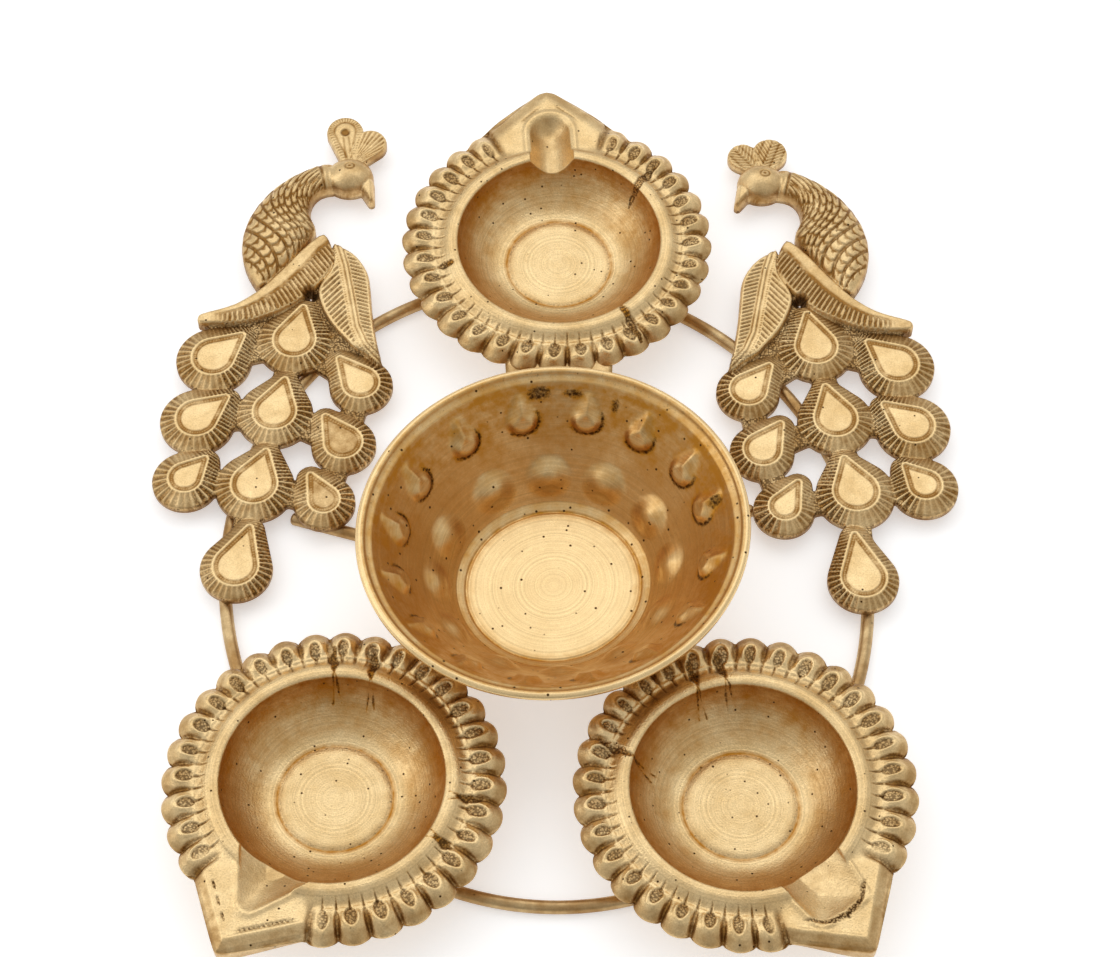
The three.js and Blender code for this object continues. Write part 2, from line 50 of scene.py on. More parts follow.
MM = 0.001
ROD_DIAMETER = 4
ROD_SIDES = 24
RING_STEPS = 320
RING_OVALNESS = 1.121
RING_TURN = math.radians(9.5)
MOTTLE_SIZE = 11
CLOUD_SIZE = 3
GRAIN_SIZE = 0.5
SPECK_SIZE = 0.9
BEAD_SIZE = 0.65
BEAD_DEPTH = 0.18
TOOL_MARK_PITCH = 0.7
TOOL_MARK_DEPTH = 0.03


def linear_colour(code):
    """Turns a hex colour, as a screen shows it, into the linear one that Blender works in."""
    shares = [int(code[i:i + 2], 16) / 255 for i in (1, 3, 5)]
    return [s / 12.92 if s <= 0.04045 else ((s + 0.055) / 1.055) ** 2.4 for s in shares] + [1]


def add_node(tree, kind, settings, links):
    """Adds a node, sets its properties and inputs by name or number, and links its inputs."""
    node = tree.nodes.new(kind)
    for key, value in settings.items():
        if isinstance(key, int) or key in node.inputs:
            node.inputs[key].default_value = value
        else:
            setattr(node, key, value)
    for key, socket in links.items():
        tree.links.new(socket, node.inputs[key])
    return node


def aged_brass(name, bright, tan, brown, turned_brown, soot_and_shade, roughness, spread, pit_size, grain, casting):
    """Brass with a worn bright tone, a tan one in its slow mottling, and brown where the piece's
    patina field says, which holds patina and painted shade, more golden on turned faces; soot
    in its beaded grounds, and the soot colour where the soot field says, which holds soot and
    painted shade. grain is how far the sand texture shows in the tone and casting is its depth.
    Sizes and depths are in millimetres."""
    material = bpy.data.materials.new(name)
    material.use_nodes = True
    tree = material.node_tree
    tree.nodes.clear()
    place = add_node(tree, "ShaderNodeTexCoord", {}, {}).outputs["Object"]
    patina_and_shade, beads, soot_and_shade_share, turning = [
        add_node(tree, "ShaderNodeAttribute", {"attribute_name": field}, {}).outputs["Fac"]
        for field in ("patina_and_shade", "beads", "soot_and_shade", "turning")]

    # Slow mottling from handling, and smaller clouds of tarnish
    mottle = add_node(tree, "ShaderNodeTexNoise", {
        "Scale": 1 / (MOTTLE_SIZE * MM), "Detail": 3, "Roughness": 0.6}, {"Vector": place}).outputs["Fac"]
    cloud = add_node(tree, "ShaderNodeTexNoise", {
        "Scale": 1 / (CLOUD_SIZE * MM), "Detail": 5, "Roughness": 0.65}, {"Vector": place}).outputs["Fac"]
    worn = add_node(tree, "ShaderNodeMapRange", {
        "From Min": 0.36, "From Max": 0.62}, {"Value": mottle}).outputs["Result"]
    metal = add_node(tree, "ShaderNodeMix", {
        "data_type": "RGBA", 6: linear_colour(tan), 7: linear_colour(bright)},
        {0: worn}).outputs[2]

    # Turned faces carry fine rings, drawn coarser than the real tool marks so that they show.
    # The turning attribute holds the radius in millimetres and is 0 on other faces
    rings = add_node(tree, "ShaderNodeTexNoise", {
        "noise_dimensions": "1D", "Scale": 1 / TOOL_MARK_PITCH, "Detail": 3, "Roughness": 0.7},
        {"W": turning}).outputs["Fac"]
    turned = add_node(tree, "ShaderNodeMath", {
        "operation": "GREATER_THAN", 1: 0.01}, {0: turning}).outputs[0]
    ring_tone = add_node(tree, "ShaderNodeMapRange", {
        "From Min": 0.3, "From Max": 0.7, "To Min": 0.74, "To Max": 1.06},
        {"Value": rings}).outputs["Result"]
    ring_share = add_node(tree, "ShaderNodeMath", {
        "operation": "MULTIPLY", 1: 0.8}, {0: turned}).outputs[0]
    metal = add_node(tree, "ShaderNodeMix", {
        "data_type": "RGBA", "blend_type": "MULTIPLY"},
        {0: ring_share, 6: metal, 7: ring_tone}).outputs[2]

    # The sand's grain
    sand = add_node(tree, "ShaderNodeTexNoise", {
        "Scale": 1 / (GRAIN_SIZE * MM), "Detail": 2, "Roughness": 0.5}, {"Vector": place}).outputs["Fac"]
    grain_tone = add_node(tree, "ShaderNodeMapRange", {
        "From Min": 0.3, "From Max": 0.7, "To Min": 1 - grain, "To Max": 1 + 0.5 * grain},
        {"Value": sand}).outputs["Result"]
    metal = add_node(tree, "ShaderNodeMix", {
        "data_type": "RGBA", "blend_type": "MULTIPLY", 0: 1.0},
        {6: metal, 7: grain_tone}).outputs[2]

    # Brown patina and painted shade: the piece's own share, broken up by the clouds and the mottling
    browned = add_node(tree, "ShaderNodeMix", {
        "data_type": "RGBA", 6: linear_colour(brown), 7: linear_colour(turned_brown)},
        {0: turned}).outputs[2]
    cloudy = add_node(tree, "ShaderNodeMapRange", {
        "From Min": 0.3, "From Max": 0.7, "To Min": -0.4, "To Max": 0.4},
        {"Value": cloud}).outputs["Result"]
    uneven = add_node(tree, "ShaderNodeMapRange", {
        "From Min": 0.35, "From Max": 0.65, "To Min": 0.3, "To Max": -0.3},
        {"Value": mottle}).outputs["Result"]
    uneven = add_node(tree, "ShaderNodeMath", {"operation": "ADD"}, {0: cloudy, 1: uneven}).outputs[0]
    share = add_node(tree, "ShaderNodeMath", {"operation": "MULTIPLY_ADD", "use_clamp": True},
                     {0: patina_and_shade, 1: uneven, 2: patina_and_shade}).outputs[0]
    metal = add_node(tree, "ShaderNodeMix", {"data_type": "RGBA"},
                     {0: share, 6: metal, 7: browned}).outputs[2]

    # Beaded grounds: punched dots, their joints black with soot
    punch = add_node(tree, "ShaderNodeTexVoronoi", {"Scale": 1 / (BEAD_SIZE * MM)}, {"Vector": place})
    joint = add_node(tree, "ShaderNodeMapRange", {
        "From Min": 0.32, "From Max": 0.62}, {"Value": punch.outputs["Distance"]}).outputs["Result"]
    soot_and_shade_mask = add_node(tree, "ShaderNodeMath", {
        "operation": "MULTIPLY", "use_clamp": True}, {0: joint, 1: beads}).outputs[0]

    # Soot and painted shade spread over a face, in specks where they are thin
    speck = add_node(tree, "ShaderNodeTexNoise", {
        "Scale": 1 / (SPECK_SIZE * MM), "Detail": 3, "Roughness": 0.6}, {"Vector": place}).outputs["Fac"]
    thin = add_node(tree, "ShaderNodeMath", {"operation": "ADD"}, {0: speck, 1: soot_and_shade_share}).outputs[0]
    spread_soot_and_shade = add_node(tree, "ShaderNodeMapRange", {
        "From Min": 0.85, "From Max": 1.2}, {"Value": thin}).outputs["Result"]
    soot_and_shade_mask = add_node(tree, "ShaderNodeMath", {"operation": "MAXIMUM"},
                     {0: soot_and_shade_mask, 1: spread_soot_and_shade}).outputs[0]
    metal = add_node(tree, "ShaderNodeMix", {
        "data_type": "RGBA", 7: linear_colour(soot_and_shade)}, {0: soot_and_shade_mask, 6: metal}).outputs[2]

    # Casting pits: a dark hole painted in some cells, most of them on turned faces, where the tool has
    # opened them. The dark is their dirt and the painted shade inside the hole, which the mesh doesn't have
    cell = add_node(tree, "ShaderNodeTexVoronoi", {"Scale": 1 / (pit_size * MM)}, {"Vector": place})
    least = add_node(tree, "ShaderNodeMapRange", {
        "To Min": 0.55, "To Max": 0.12}, {"Value": turned}).outputs["Result"]
    chosen = add_node(tree, "ShaderNodeMath", {"operation": "GREATER_THAN"},
                      {0: cell.outputs["Color"], 1: least}).outputs[0]
    hole = add_node(tree, "ShaderNodeMapRange", {
        "From Min": 0.115, "From Max": 0.075}, {"Value": cell.outputs["Distance"]}).outputs["Result"]
    pit = add_node(tree, "ShaderNodeMath", {"operation": "MULTIPLY"}, {0: chosen, 1: hole}).outputs[0]
    metal = add_node(tree, "ShaderNodeMix", {
        "data_type": "RGBA", 7: linear_colour(soot_and_shade)}, {0: pit, 6: metal}).outputs[2]

    # Relief too fine for the mesh: the sand's grain, the beads and the tool marks
    bump = add_node(tree, "ShaderNodeBump", {
        "Strength": 1, "Distance": casting * MM}, {"Height": sand}).outputs["Normal"]
    dip = add_node(tree, "ShaderNodeMath", {"operation": "MULTIPLY"},
                   {0: punch.outputs["Distance"], 1: beads}).outputs[0]
    bump = add_node(tree, "ShaderNodeBump", {
        "Strength": 1, "Distance": BEAD_DEPTH * MM, "invert": True},
        {"Height": dip, "Normal": bump}).outputs["Normal"]
    marks = add_node(tree, "ShaderNodeMath", {"operation": "MULTIPLY"},
                     {0: rings, 1: turned}).outputs[0]
    bump = add_node(tree, "ShaderNodeBump", {
        "Strength": 1, "Distance": TOOL_MARK_DEPTH * MM},
        {"Height": marks, "Normal": bump}).outputs["Normal"]

    # Duller in the clouds and under the patina and the painted shade
    dull = add_node(tree, "ShaderNodeMapRange", {
        "From Min": 0.3, "From Max": 0.7, "To Min": roughness - spread / 2,
        "To Max": roughness + spread / 2}, {"Value": cloud}).outputs["Result"]
    rough = add_node(tree, "ShaderNodeMath", {"operation": "MULTIPLY_ADD", 1: 0.16, "use_clamp": True},
                     {0: share, 2: dull}).outputs[0]
    shader = add_node(tree, "ShaderNodeBsdfPrincipled", {"Metallic": 1.0}, {
        "Base Color": metal, "Roughness": rough, "Normal": bump})
    add_node(tree, "ShaderNodeOutputMaterial", {}, {"Surface": shader.outputs["BSDF"]})
    return material


def smooth(low, high, value):
    """Rises from 0 at low to 1 at high along an S-curve; low may be the greater."""
    share = np.clip((value - low) / (high - low), 0, 1)
    return share * share * (3 - 2 * share)


def mesh_of(name, shape):
    """Makes the bmesh a mesh, in metres where the bmesh was in millimetres."""
    mesh = bpy.data.meshes.new(name)
    bmesh.ops.scale(shape, vec=(MM, MM, MM), verts=shape.verts)
    shape.to_mesh(mesh)
    shape.free()
    return mesh


def points_of(mesh):
    """The mesh's points in millimetres."""
    flat = np.empty(3 * len(mesh.vertices))
    mesh.vertices.foreach_get("co", flat)
    return flat.reshape(-1, 3) / MM


def move_points(mesh, points):
    """Puts the mesh's points at new places, given in millimetres."""
    mesh.vertices.foreach_set("co", np.asarray(points * MM, np.float32).ravel())
    mesh.update()


def keep_field(mesh, name, values):
    """Stores one number a point, for the material to read."""
    field = mesh.attributes.new(name, "FLOAT", "POINT")
    field.data.foreach_set("value", np.broadcast_to(values, len(mesh.vertices)).astype(np.float32))


def brass_piece(name, mesh, material):
    """The finished piece stands for the solid of the same name and rides with the object."""
    mesh.shade_smooth()
    mesh.materials.append(material)
    piece = bpy.data.objects.new(f"{name}_brass", mesh)
    bpy.context.scene.collection.objects.link(piece)
    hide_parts(name)
    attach(piece, "root")
    return piece


# Drawn brass, unpolished: smooth but dull, brown with a few paler rubbed lengths
drawn_brass = aged_brass("drawn_brass_rod", bright="#E0C594", tan="#C09A64", brown="#8A6236",
                         turned_brown="#8A6236", soot_and_shade="#2A1C10", roughness=0.34, spread=0.14,
                         pit_size=6, grain=0.12, casting=0.02)

ring_low, ring_high = [np.array(corner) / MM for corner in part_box("base_ring")]
ring_centre = (ring_low + ring_high)[:2] / 2
rod_radius = ROD_DIAMETER / 2
ring_radius = (((ring_high - ring_low)[0] / 2 - rod_radius)
               / math.hypot(math.cos(RING_TURN), RING_OVALNESS * math.sin(RING_TURN)))


def beside_ring(share, outset):
    """A point outset millimetres outside the oval's centre line, share radians round it."""
    c, s = np.cos(share), np.sin(share)
    slope = np.hypot(c * RING_OVALNESS, s)
    u = ring_radius * c + outset * c * RING_OVALNESS / slope
    v = ring_radius * s * RING_OVALNESS + outset * s / slope
    x = ring_centre[0] + u * math.cos(RING_TURN) - v * math.sin(RING_TURN)
    y = ring_centre[1] + u * math.sin(RING_TURN) + v * math.cos(RING_TURN)
    return x, y


shape = bmesh.new()
section = Matrix.Translation((ring_radius, 0, rod_radius)) @ Matrix.Rotation(math.pi / 2, 4, "X")
bmesh.ops.create_circle(shape, segments=ROD_SIDES, radius=rod_radius, matrix=section)
bmesh.ops.spin(shape, geom=shape.verts[:] + shape.edges[:], axis=(0, 0, 1), cent=(0, 0, 0),
               angle=2 * math.pi, steps=RING_STEPS, use_merge=True)
bmesh.ops.recalc_face_normals(shape, faces=shape.faces)
ring_mesh = mesh_of("base_ring", shape)
points = points_of(ring_mesh)
share = np.arctan2(points[:, 1], points[:, 0])
points[:, 0], points[:, 1] = beside_ring(share, np.hypot(points[:, 0], points[:, 1]) - ring_radius)
move_points(ring_mesh, points)
# Patina all over, and browner still on the underside near the table: painted shade
keep_field(ring_mesh, "patina_and_shade", 0.35 + 0.5 * smooth(1.6, 0.2, points[:, 2]))
keep_field(ring_mesh, "beads", 0)
keep_field(ring_mesh, "turning", 0)
brass_piece("base_ring", ring_mesh, drawn_brass)


# Bowl: a sand-cast brass bowl, turned inside and on the rim. Sixteen drops and, below them, twelve
# soft mounds stand proud of its inner wall; they are spaced by eye. It stands on its flat foot.

BOWL_HEIGHT = 38.2
BOWL_FOOT_RADIUS = 29
BOWL_RIM_RADIUS = 57.75
BOWL_WALL = 3.4
BOWL_RIM_WIDTH = 3.4
BOWL_RIM_DEPTH = 3.4
BOWL_RIM_STEP = 0.6
BOWL_FLOOR_RADIUS = 26.4
BOWL_FLOOR_THICKNESS = 2.5
BOWL_FOOT_ROUND = 0.6
BOWL_WALL_TILT = math.radians(52)
BOWL_BULGE = 0.9
BOWL_OVALNESS = 1.021
BOWL_TURN = math.radians(26.4)
BOWL_SECTORS = 24
SECTOR_STEPS = 23
DROP_ANGLES = [16, 34, 56.6, 78.5, 102.7, 126.4, 151, 172, 194, 216.5, 239, 261.5, 284, 306.5, 329, 351.5]
DROP = {"height": 26.3, "radius": 4.8, "length": 7.4, "tip_radius": 1.5, "rise": 1.8}
MOUND_ANGLES = [93.4, 122.7, 157.6, 185, 214, 244, 274, 304, 334, 4, 33.9, 64.5]
MOUND = {"height": 10.4, "width": 14, "length": 14, "rise": 2}
STAINS = [{"angle": 96, "height": 33, "width": 4.5, "length": 2.2},
          {"angle": 84, "height": 32.8, "width": 3.5, "length": 1.4},
          {"angle": 69, "height": 31.5, "width": 1.6, "length": 2.4},
          {"angle": 14, "height": 31, "width": 2.2, "length": 2.6}]


def rounded_line(corners, rounds):
    """Cuts the corners off a line of points, keeping its ends, as many times as rounds says."""
    line = np.array(corners, float)
    for _ in range(rounds):
        near = 0.75 * line[:-1] + 0.25 * line[1:]
        far = 0.25 * line[:-1] + 0.75 * line[1:]
        middle = np.stack([near, far], 1).reshape(-1, 2)
        line = np.concatenate([line[:1], middle, line[-1:]])
    return line


def evenly(line, step):
    """The same line with points about one step apart."""
    lengths = np.hypot(*np.diff(line, axis=0).T)
    along = np.concatenate([[0], np.cumsum(lengths)])
    stops = np.linspace(0, along[-1], max(2, round(along[-1] / step) + 1))
    return np.stack([np.interp(stops, along, line[:, i]) for i in (0, 1)], 1)


def chained(*lines):
    """Joins lines end to end, leaving out each shared point."""
    return np.concatenate([lines[0]] + [line[1:] for line in lines[1:]])


def spun(profile, sectors, steps):
    """Spins a profile of [radius, height], which starts and ends on the axis, round +Z: first
    through one sector, in so many steps, and then that sector all the way round. The field order
    keeps each point's place in the profile."""
    shape = bmesh.new()
    order = shape.verts.layers.float.new("order")
    corners = [shape.verts.new((radius, 0, height)) for radius, height in profile]
    for i, corner in enumerate(corners):
        corner[order] = i
    chain = [shape.edges.new(pair) for pair in zip(corners, corners[1:])]
    sector = 2 * math.pi / sectors
    bmesh.ops.spin(shape, geom=corners + chain, axis=(0, 0, 1), cent=(0, 0, 0), angle=sector,
                   steps=steps)
    whole = shape.verts[:] + shape.edges[:] + shape.faces[:]
    bmesh.ops.spin(shape, geom=whole, axis=(0, 0, 1), cent=(0, 0, 0), angle=2 * math.pi - sector,
                   steps=sectors - 1, use_duplicate=True)
    bmesh.ops.remove_doubles(shape, verts=shape.verts, dist=1e-4)
    bmesh.ops.recalc_face_normals(shape, faces=shape.faces)
    return shape


def taken_field(mesh, name):
    """Reads a field of numbers off the mesh's points and removes it."""
    values = np.empty(len(mesh.vertices), np.float32)
    mesh.attributes[name].data.foreach_get("value", values)
    mesh.attributes.remove(mesh.attributes[name])
    return values


def bowl_radius(height):
    """Radius of the bowl's outer wall at a height above the table."""
    share = np.clip(np.asarray(height, float) / BOWL_HEIGHT, 0, 1)
    return BOWL_FOOT_RADIUS + (BOWL_RIM_RADIUS - BOWL_FOOT_RADIUS) * share ** BOWL_BULGE


def bowl_wall_line(offset, low, high):
    """The wall's profile between two heights, drawn in by the offset."""
    heights = np.linspace(low, high, 24)
    return np.stack([bowl_radius(heights) - offset, heights], 1)


def beside_line(x, y, start, end):
    """Each point's distance from a straight stroke, and its share of the way along it."""
    dx, dy = end[0] - start[0], end[1] - start[1]
    share = ((x - start[0]) * dx + (y - start[1]) * dy) / (dx * dx + dy * dy)
    held = np.clip(share, 0, 1)
    return np.hypot(x - start[0] - held * dx, y - start[1] - held * dy), held


def along_and_beside(x, y, start, end):
    """Each point's place along the line from start to end, and its distance to the line's right."""
    dx, dy = np.subtract(end, start) / math.dist(start, end)
    along = (x - start[0]) * dx + (y - start[1]) * dy
    return along, (x - start[0]) * dy - (y - start[1]) * dx


def drop_distance(x, y, middle, radius, tip, tip_radius):
    """Distance from the outline of a drop, which is two circles and their tangents, negative
    inside it, and the place along the outline, in millimetres from the foot of the round end."""
    length = math.dist(middle, tip)
    along, beside = along_and_beside(x, y, middle, tip)
    beside = np.abs(beside)
    fall = (radius - tip_radius) / length
    run = math.sqrt(1 - fall * fall)
    reach = run * along - fall * beside
    distance = np.where(reach < 0, np.hypot(beside, along) - radius, run * beside + fall * along - radius)
    distance = np.where(reach > run * length, np.hypot(beside, along - length) - tip_radius, distance)
    turned = radius * np.arctan2(beside, -along)
    place = np.where(reach < 0, turned, radius * math.atan2(run, -fall) + reach)
    return distance, place


def degrees_past(angle, place):
    """How many degrees each angle lies past a place, from -180 to 180."""
    return (np.degrees(angle) - place + 180) % 360 - 180


def degrees_past_nearest(angle, places):
    """How many degrees each angle lies past the nearest of the places."""
    beside = np.full(len(angle), 360.0)
    for place in places:
        turn = degrees_past(angle, place)
        beside = np.where(np.abs(turn) < np.abs(beside), turn, beside)
    return beside


def swell(value, place, spread):
    """1 where the value is at the place, falling off on both sides as a bell does."""
    return np.exp(-((value - place) / spread) ** 2)


rim_inside = BOWL_RIM_RADIUS - BOWL_RIM_WIDTH
rim_bottom = BOWL_HEIGHT - BOWL_RIM_DEPTH
inner_top = BOWL_HEIGHT - 0.62 * BOWL_RIM_DEPTH
outer_wall = bowl_wall_line(0, 0, rim_bottom)
inner_wall = bowl_wall_line(BOWL_WALL, BOWL_FLOOR_THICKNESS + 1.2, inner_top)
bowl_profile = chained(
    evenly(np.array([[0, 0], [BOWL_FOOT_RADIUS - BOWL_FOOT_ROUND, 0]]), 6),
    evenly(rounded_line([[BOWL_FOOT_RADIUS - BOWL_FOOT_ROUND, 0], [BOWL_FOOT_RADIUS, 0],
                         outer_wall[1]], 2), 0.7),
    evenly(outer_wall[1:-1], 1.6),
    evenly(rounded_line([outer_wall[-2], outer_wall[-1] - [BOWL_RIM_STEP, 0],
                         outer_wall[-1] + [0.2, -0.1],
                         [BOWL_RIM_RADIUS + 0.1, BOWL_HEIGHT - 0.45 * BOWL_RIM_DEPTH],
                         [BOWL_RIM_RADIUS - 0.25 * BOWL_RIM_WIDTH, BOWL_HEIGHT],
                         [rim_inside + 0.25 * BOWL_RIM_WIDTH, BOWL_HEIGHT],
                         [rim_inside + 0.25, BOWL_HEIGHT - 0.4 * BOWL_RIM_DEPTH],
                         inner_wall[-1]], 3), 0.3),
    evenly(inner_wall[::-1], 0.56),
    evenly(rounded_line([inner_wall[0],
                         [BOWL_FLOOR_RADIUS + 0.3, BOWL_FLOOR_THICKNESS + 0.2],
                         [BOWL_FLOOR_RADIUS - 0.1, BOWL_FLOOR_THICKNESS - 0.35],
                         [BOWL_FLOOR_RADIUS - 0.7, BOWL_FLOOR_THICKNESS - 0.05],
                         [BOWL_FLOOR_RADIUS - 1.5, BOWL_FLOOR_THICKNESS]], 2), 0.25),
    evenly(np.array([[BOWL_FLOOR_RADIUS - 1.5, BOWL_FLOOR_THICKNESS], [0, BOWL_FLOOR_THICKNESS]]), 2),
)
bowl_mesh = mesh_of("urli_bowl", spun(bowl_profile, BOWL_SECTORS, SECTOR_STEPS))
order = taken_field(bowl_mesh, "order")
points = points_of(bowl_mesh)
angle = np.arctan2(points[:, 1], points[:, 0]) + BOWL_TURN
plain_radius, plain_height = np.hypot(points[:, 0], points[:, 1]), points[:, 2]
inside = order > np.argmax(bowl_profile[:, 1])
on_wall = inside * smooth(BOWL_FLOOR_THICKNESS, BOWL_FLOOR_THICKNESS + 2, plain_height)

# Drops: pointed at the top and steep at the round foot, with a soft ridge along the pointed half
across = np.radians(degrees_past_nearest(angle, DROP_ANGLES)) * plain_radius
above = (plain_height - DROP["height"]) / math.sin(BOWL_WALL_TILT)
drop_edge = drop_distance(across, above, (0, 0), DROP["radius"], (0, DROP["length"]), DROP["tip_radius"])[0]
steepness = 1 + 1.2 * smooth(-2, 3, above)
drop = smooth(0.4, -1.9, drop_edge / steepness)
ridge = swell(across, 0, 0.9) * smooth(0, 2, above) * smooth(7.5, 5, above)

# Mounds: soft all round, with their lower edges a little sharper
across_low = (np.radians(degrees_past_nearest(angle, MOUND_ANGLES)) * plain_radius
              / (MOUND["width"] / 2))
above_low = (plain_height - MOUND["height"]) / math.sin(BOWL_WALL_TILT) / (MOUND["length"] / 2)
mound_edge = np.hypot(across_low, np.where(above_low < 0, 1.1, 1) * above_low)
mound = smooth(1.1, 0.1, mound_edge)
rise = on_wall * (DROP["rise"] * drop + 0.2 * ridge * drop + MOUND["rise"] * mound)
radius = plain_radius - rise * math.sin(BOWL_WALL_TILT)
height = plain_height + rise * math.cos(BOWL_WALL_TILT)

# Painted shade lies under the drops' feet, in brown and soot specks, and along the mounds' lower
# rims in soot specks; soot stains the wall below the rim
shade_crescent = smooth(-0.9, 0.1, drop_edge) * smooth(1.9, 0.3, drop_edge)
shade_crescent = shade_crescent * smooth(3.5, -2.5, above + 0.7 * across)
mound_shade = swell(mound_edge, 1, 0.07) * smooth(-0.1, -0.7, above_low + 0.4 * across_low)
stained = np.zeros(len(points))
for stain in STAINS:
    beside = np.radians(degrees_past(angle, stain["angle"])) * radius
    from_middle = np.hypot(beside / stain["width"], (plain_height - stain["height"]) / stain["length"])
    stained = np.maximum(stained, smooth(1.4, 0.5, from_middle))

# The wall is brownest high up; painted shade darkens it under the rim, and its corner round the floor is
# darker still
upper_zone = smooth(14, 30, plain_height)
rim = inside * smooth(inner_top - 0.5, inner_top + 0.5, plain_height)
shade_under_rim = swell(plain_height, inner_top - 1.6, 0.35)
near_floor = plain_height < BOWL_FLOOR_THICKNESS + 1.5
groove = swell(plain_radius, BOWL_FLOOR_RADIUS, 0.45) * near_floor
floor_edge = smooth(BOWL_FLOOR_RADIUS - 3.5, BOWL_FLOOR_RADIUS - 0.5, plain_radius) * near_floor
patina_and_shade = 0.4 + 0.36 * upper_zone + 0.25 * shade_under_rim - 0.3 * drop + 0.4 * shade_crescent + 0.3 * stained
patina_and_shade = patina_and_shade * on_wall * (1 - rim) + 0.5 * rim + 0.45 * groove + 0.3 * floor_edge
patina_and_shade = np.where(inside | (plain_height > BOWL_HEIGHT - 2), patina_and_shade, 0.45)
soot_and_shade_share = 0.27 * rim + on_wall * (1 - rim) * (0.66 * shade_crescent + 0.33 * mound_shade + 0.6 * stained)
soot_and_shade_share = soot_and_shade_share + 0.15 * floor_edge * inside

# The casting came out slightly oval
points = np.stack([radius * np.cos(angle - BOWL_TURN) * BOWL_OVALNESS,
                   radius * np.sin(angle - BOWL_TURN) / BOWL_OVALNESS, height], 1)
turn = np.array(Matrix.Rotation(BOWL_TURN, 3, "Z"))
move_points(bowl_mesh, points @ turn.T)
keep_field(bowl_mesh, "patina_and_shade", np.clip(patina_and_shade, 0, 1))
keep_field(bowl_mesh, "beads", 0)
keep_field(bowl_mesh, "soot_and_shade", np.clip(soot_and_shade_share, 0, 1))
keep_field(bowl_mesh, "turning", np.where(inside, radius, 0))

# Turned cast brass: paler and smoother than the castings, and orange-brown where it is browned
turned_brass = aged_brass("turned_cast_brass", bright="#F2D39C", tan="#EBCB94", brown="#A8742E",
                          turned_brown="#C98F36", soot_and_shade="#4A3014", roughness=0.3, spread=0.12,
                          pit_size=4.2, grain=0.1, casting=0.02)
brass_piece("urli_bowl", bowl_mesh, turned_brass)


# Lamps: three castings of one pattern, each an oil cup with a rim of 28 petals and a pointed
# spout for the wick. Cups and rims are turned, the petals' beaded eyes and slots are chased by
# hand. The back lamp is brazed to the bowl by a plain lug, all three to the ring below them.

SEAT_HEIGHT = 4.3
LAMP_FOOT_RADIUS = 18
CUP_FLOOR_RADIUS = 16.9
CUP_FLOOR_THICKNESS = 2.2
CUP_LIP_RADIUS = 32.4
CUP_WALL = 2.6
LAMP_HEIGHT = 16.6
CUP_LIP_DROP = 0.8
RIM_BAND_WIDTH = 4.4
PETAL_RADIUS = 49.7
PETAL_NOTCH = 2.6
PETAL_EDGE_HEIGHT = 12.3
PETAL_UNDERSIDE = 11.7
PETAL_PITCHES = 32
POINTED_SPOUT = {"reach": 61.3, "tip_radius": 1.2}
BLUNT_SPOUT = {"reach": 64.3, "tip_radius": 6}
SPOUT_SLOPE = math.radians(47.6)
SPOUT_PITCHES = 4
SPOUT_KEEL = 4
PLATE_HEIGHT = 15.1
PETAL_SHIFT = (0.5, 0.7)
PILLOW_RISE = 0.35
FURROW_DEPTH = 1.3
EYE = {"middle": 42.5, "half_length": 2.75, "half_width": 1.55, "depth": 0.34, "lip": 0.42}
SLOT = {"middle": 38.4, "half_length": 1.9, "half_width": 0.5, "depth": 0.38}
WEDGE = {"middle": 44.6, "half_length": 4.3, "half_width": 0.95, "depth": 0.35}
CHANNEL_DEPTH = 6
CHANNEL_START = CUP_LIP_RADIUS - 1.4
TROUGH = {"half_width": 7.1, "end": 51}
SCOOPS = {"diya_left": {"half_width": 10.8, "taper": 0.6, "end": 47, "corner": 2.5, "depth": 4.9},
          "diya_right": {"half_width": 9.6, "taper": 0.12, "end": 46.8, "corner": 3, "depth": 4.9}}
LAMP_SECTORS = 32
LAMP_SECTOR_STEPS = 23
SPOUT_CROWDING = 0.3
LUG_WIDTH = 34
LUG_END_WIDTH = 30
LUG_THICKNESS = 3
LUG_TOP = 12.3
LUG_OVERLAP = 6
LUG_GAP = 0.3
SCAR_DEPTH = 0.4
NO_CHANNEL = 99

# Each scar has its two ends, as distance from the cup's middle and degrees from the spout, and the
# share of its length that is an open scar; what is left runs out as two cracks
LAMPS = [
    {"name": "diya_back", "centre": (1.64, 117.12), "spout": 94, "round": True, "seed": 3,
     "scars": [((42.9, -50.8), (28.4, -56.3), 1), ((31.4, -146.2), (47.1, -150.5), 1),
               ((39.6, 101.3), (34.8, 101.3), 1)]},
    {"name": "diya_left", "centre": (-63.25, -73.15), "spout": 240, "round": False, "seed": 5,
     "scars": [((43.2, -148.1), (28, -149.5), 0.6), ((42.7, -165.2), (27.5, -170), 0.6),
               ((44, 111.5), (34, 110.5), 0.8), ((41, 88), (33, 88.5), 0.8)]},
    {"name": "diya_right", "centre": (54.33, -75.61), "spout": 305.5, "round": False, "seed": 8,
     "scars": [((43.2, 164.8), (27.5, 167), 0.6), ((44, 153.9), (28.5, 149), 0.6),
               ((43.3, -144.8), (25.9, -139.7), 0.6)]},
]

pitch_angle = 2 * math.pi / PETAL_PITCHES
spout_half_angle = SPOUT_PITCHES / 2 * pitch_angle
rim_outside = CUP_LIP_RADIUS + RIM_BAND_WIDTH

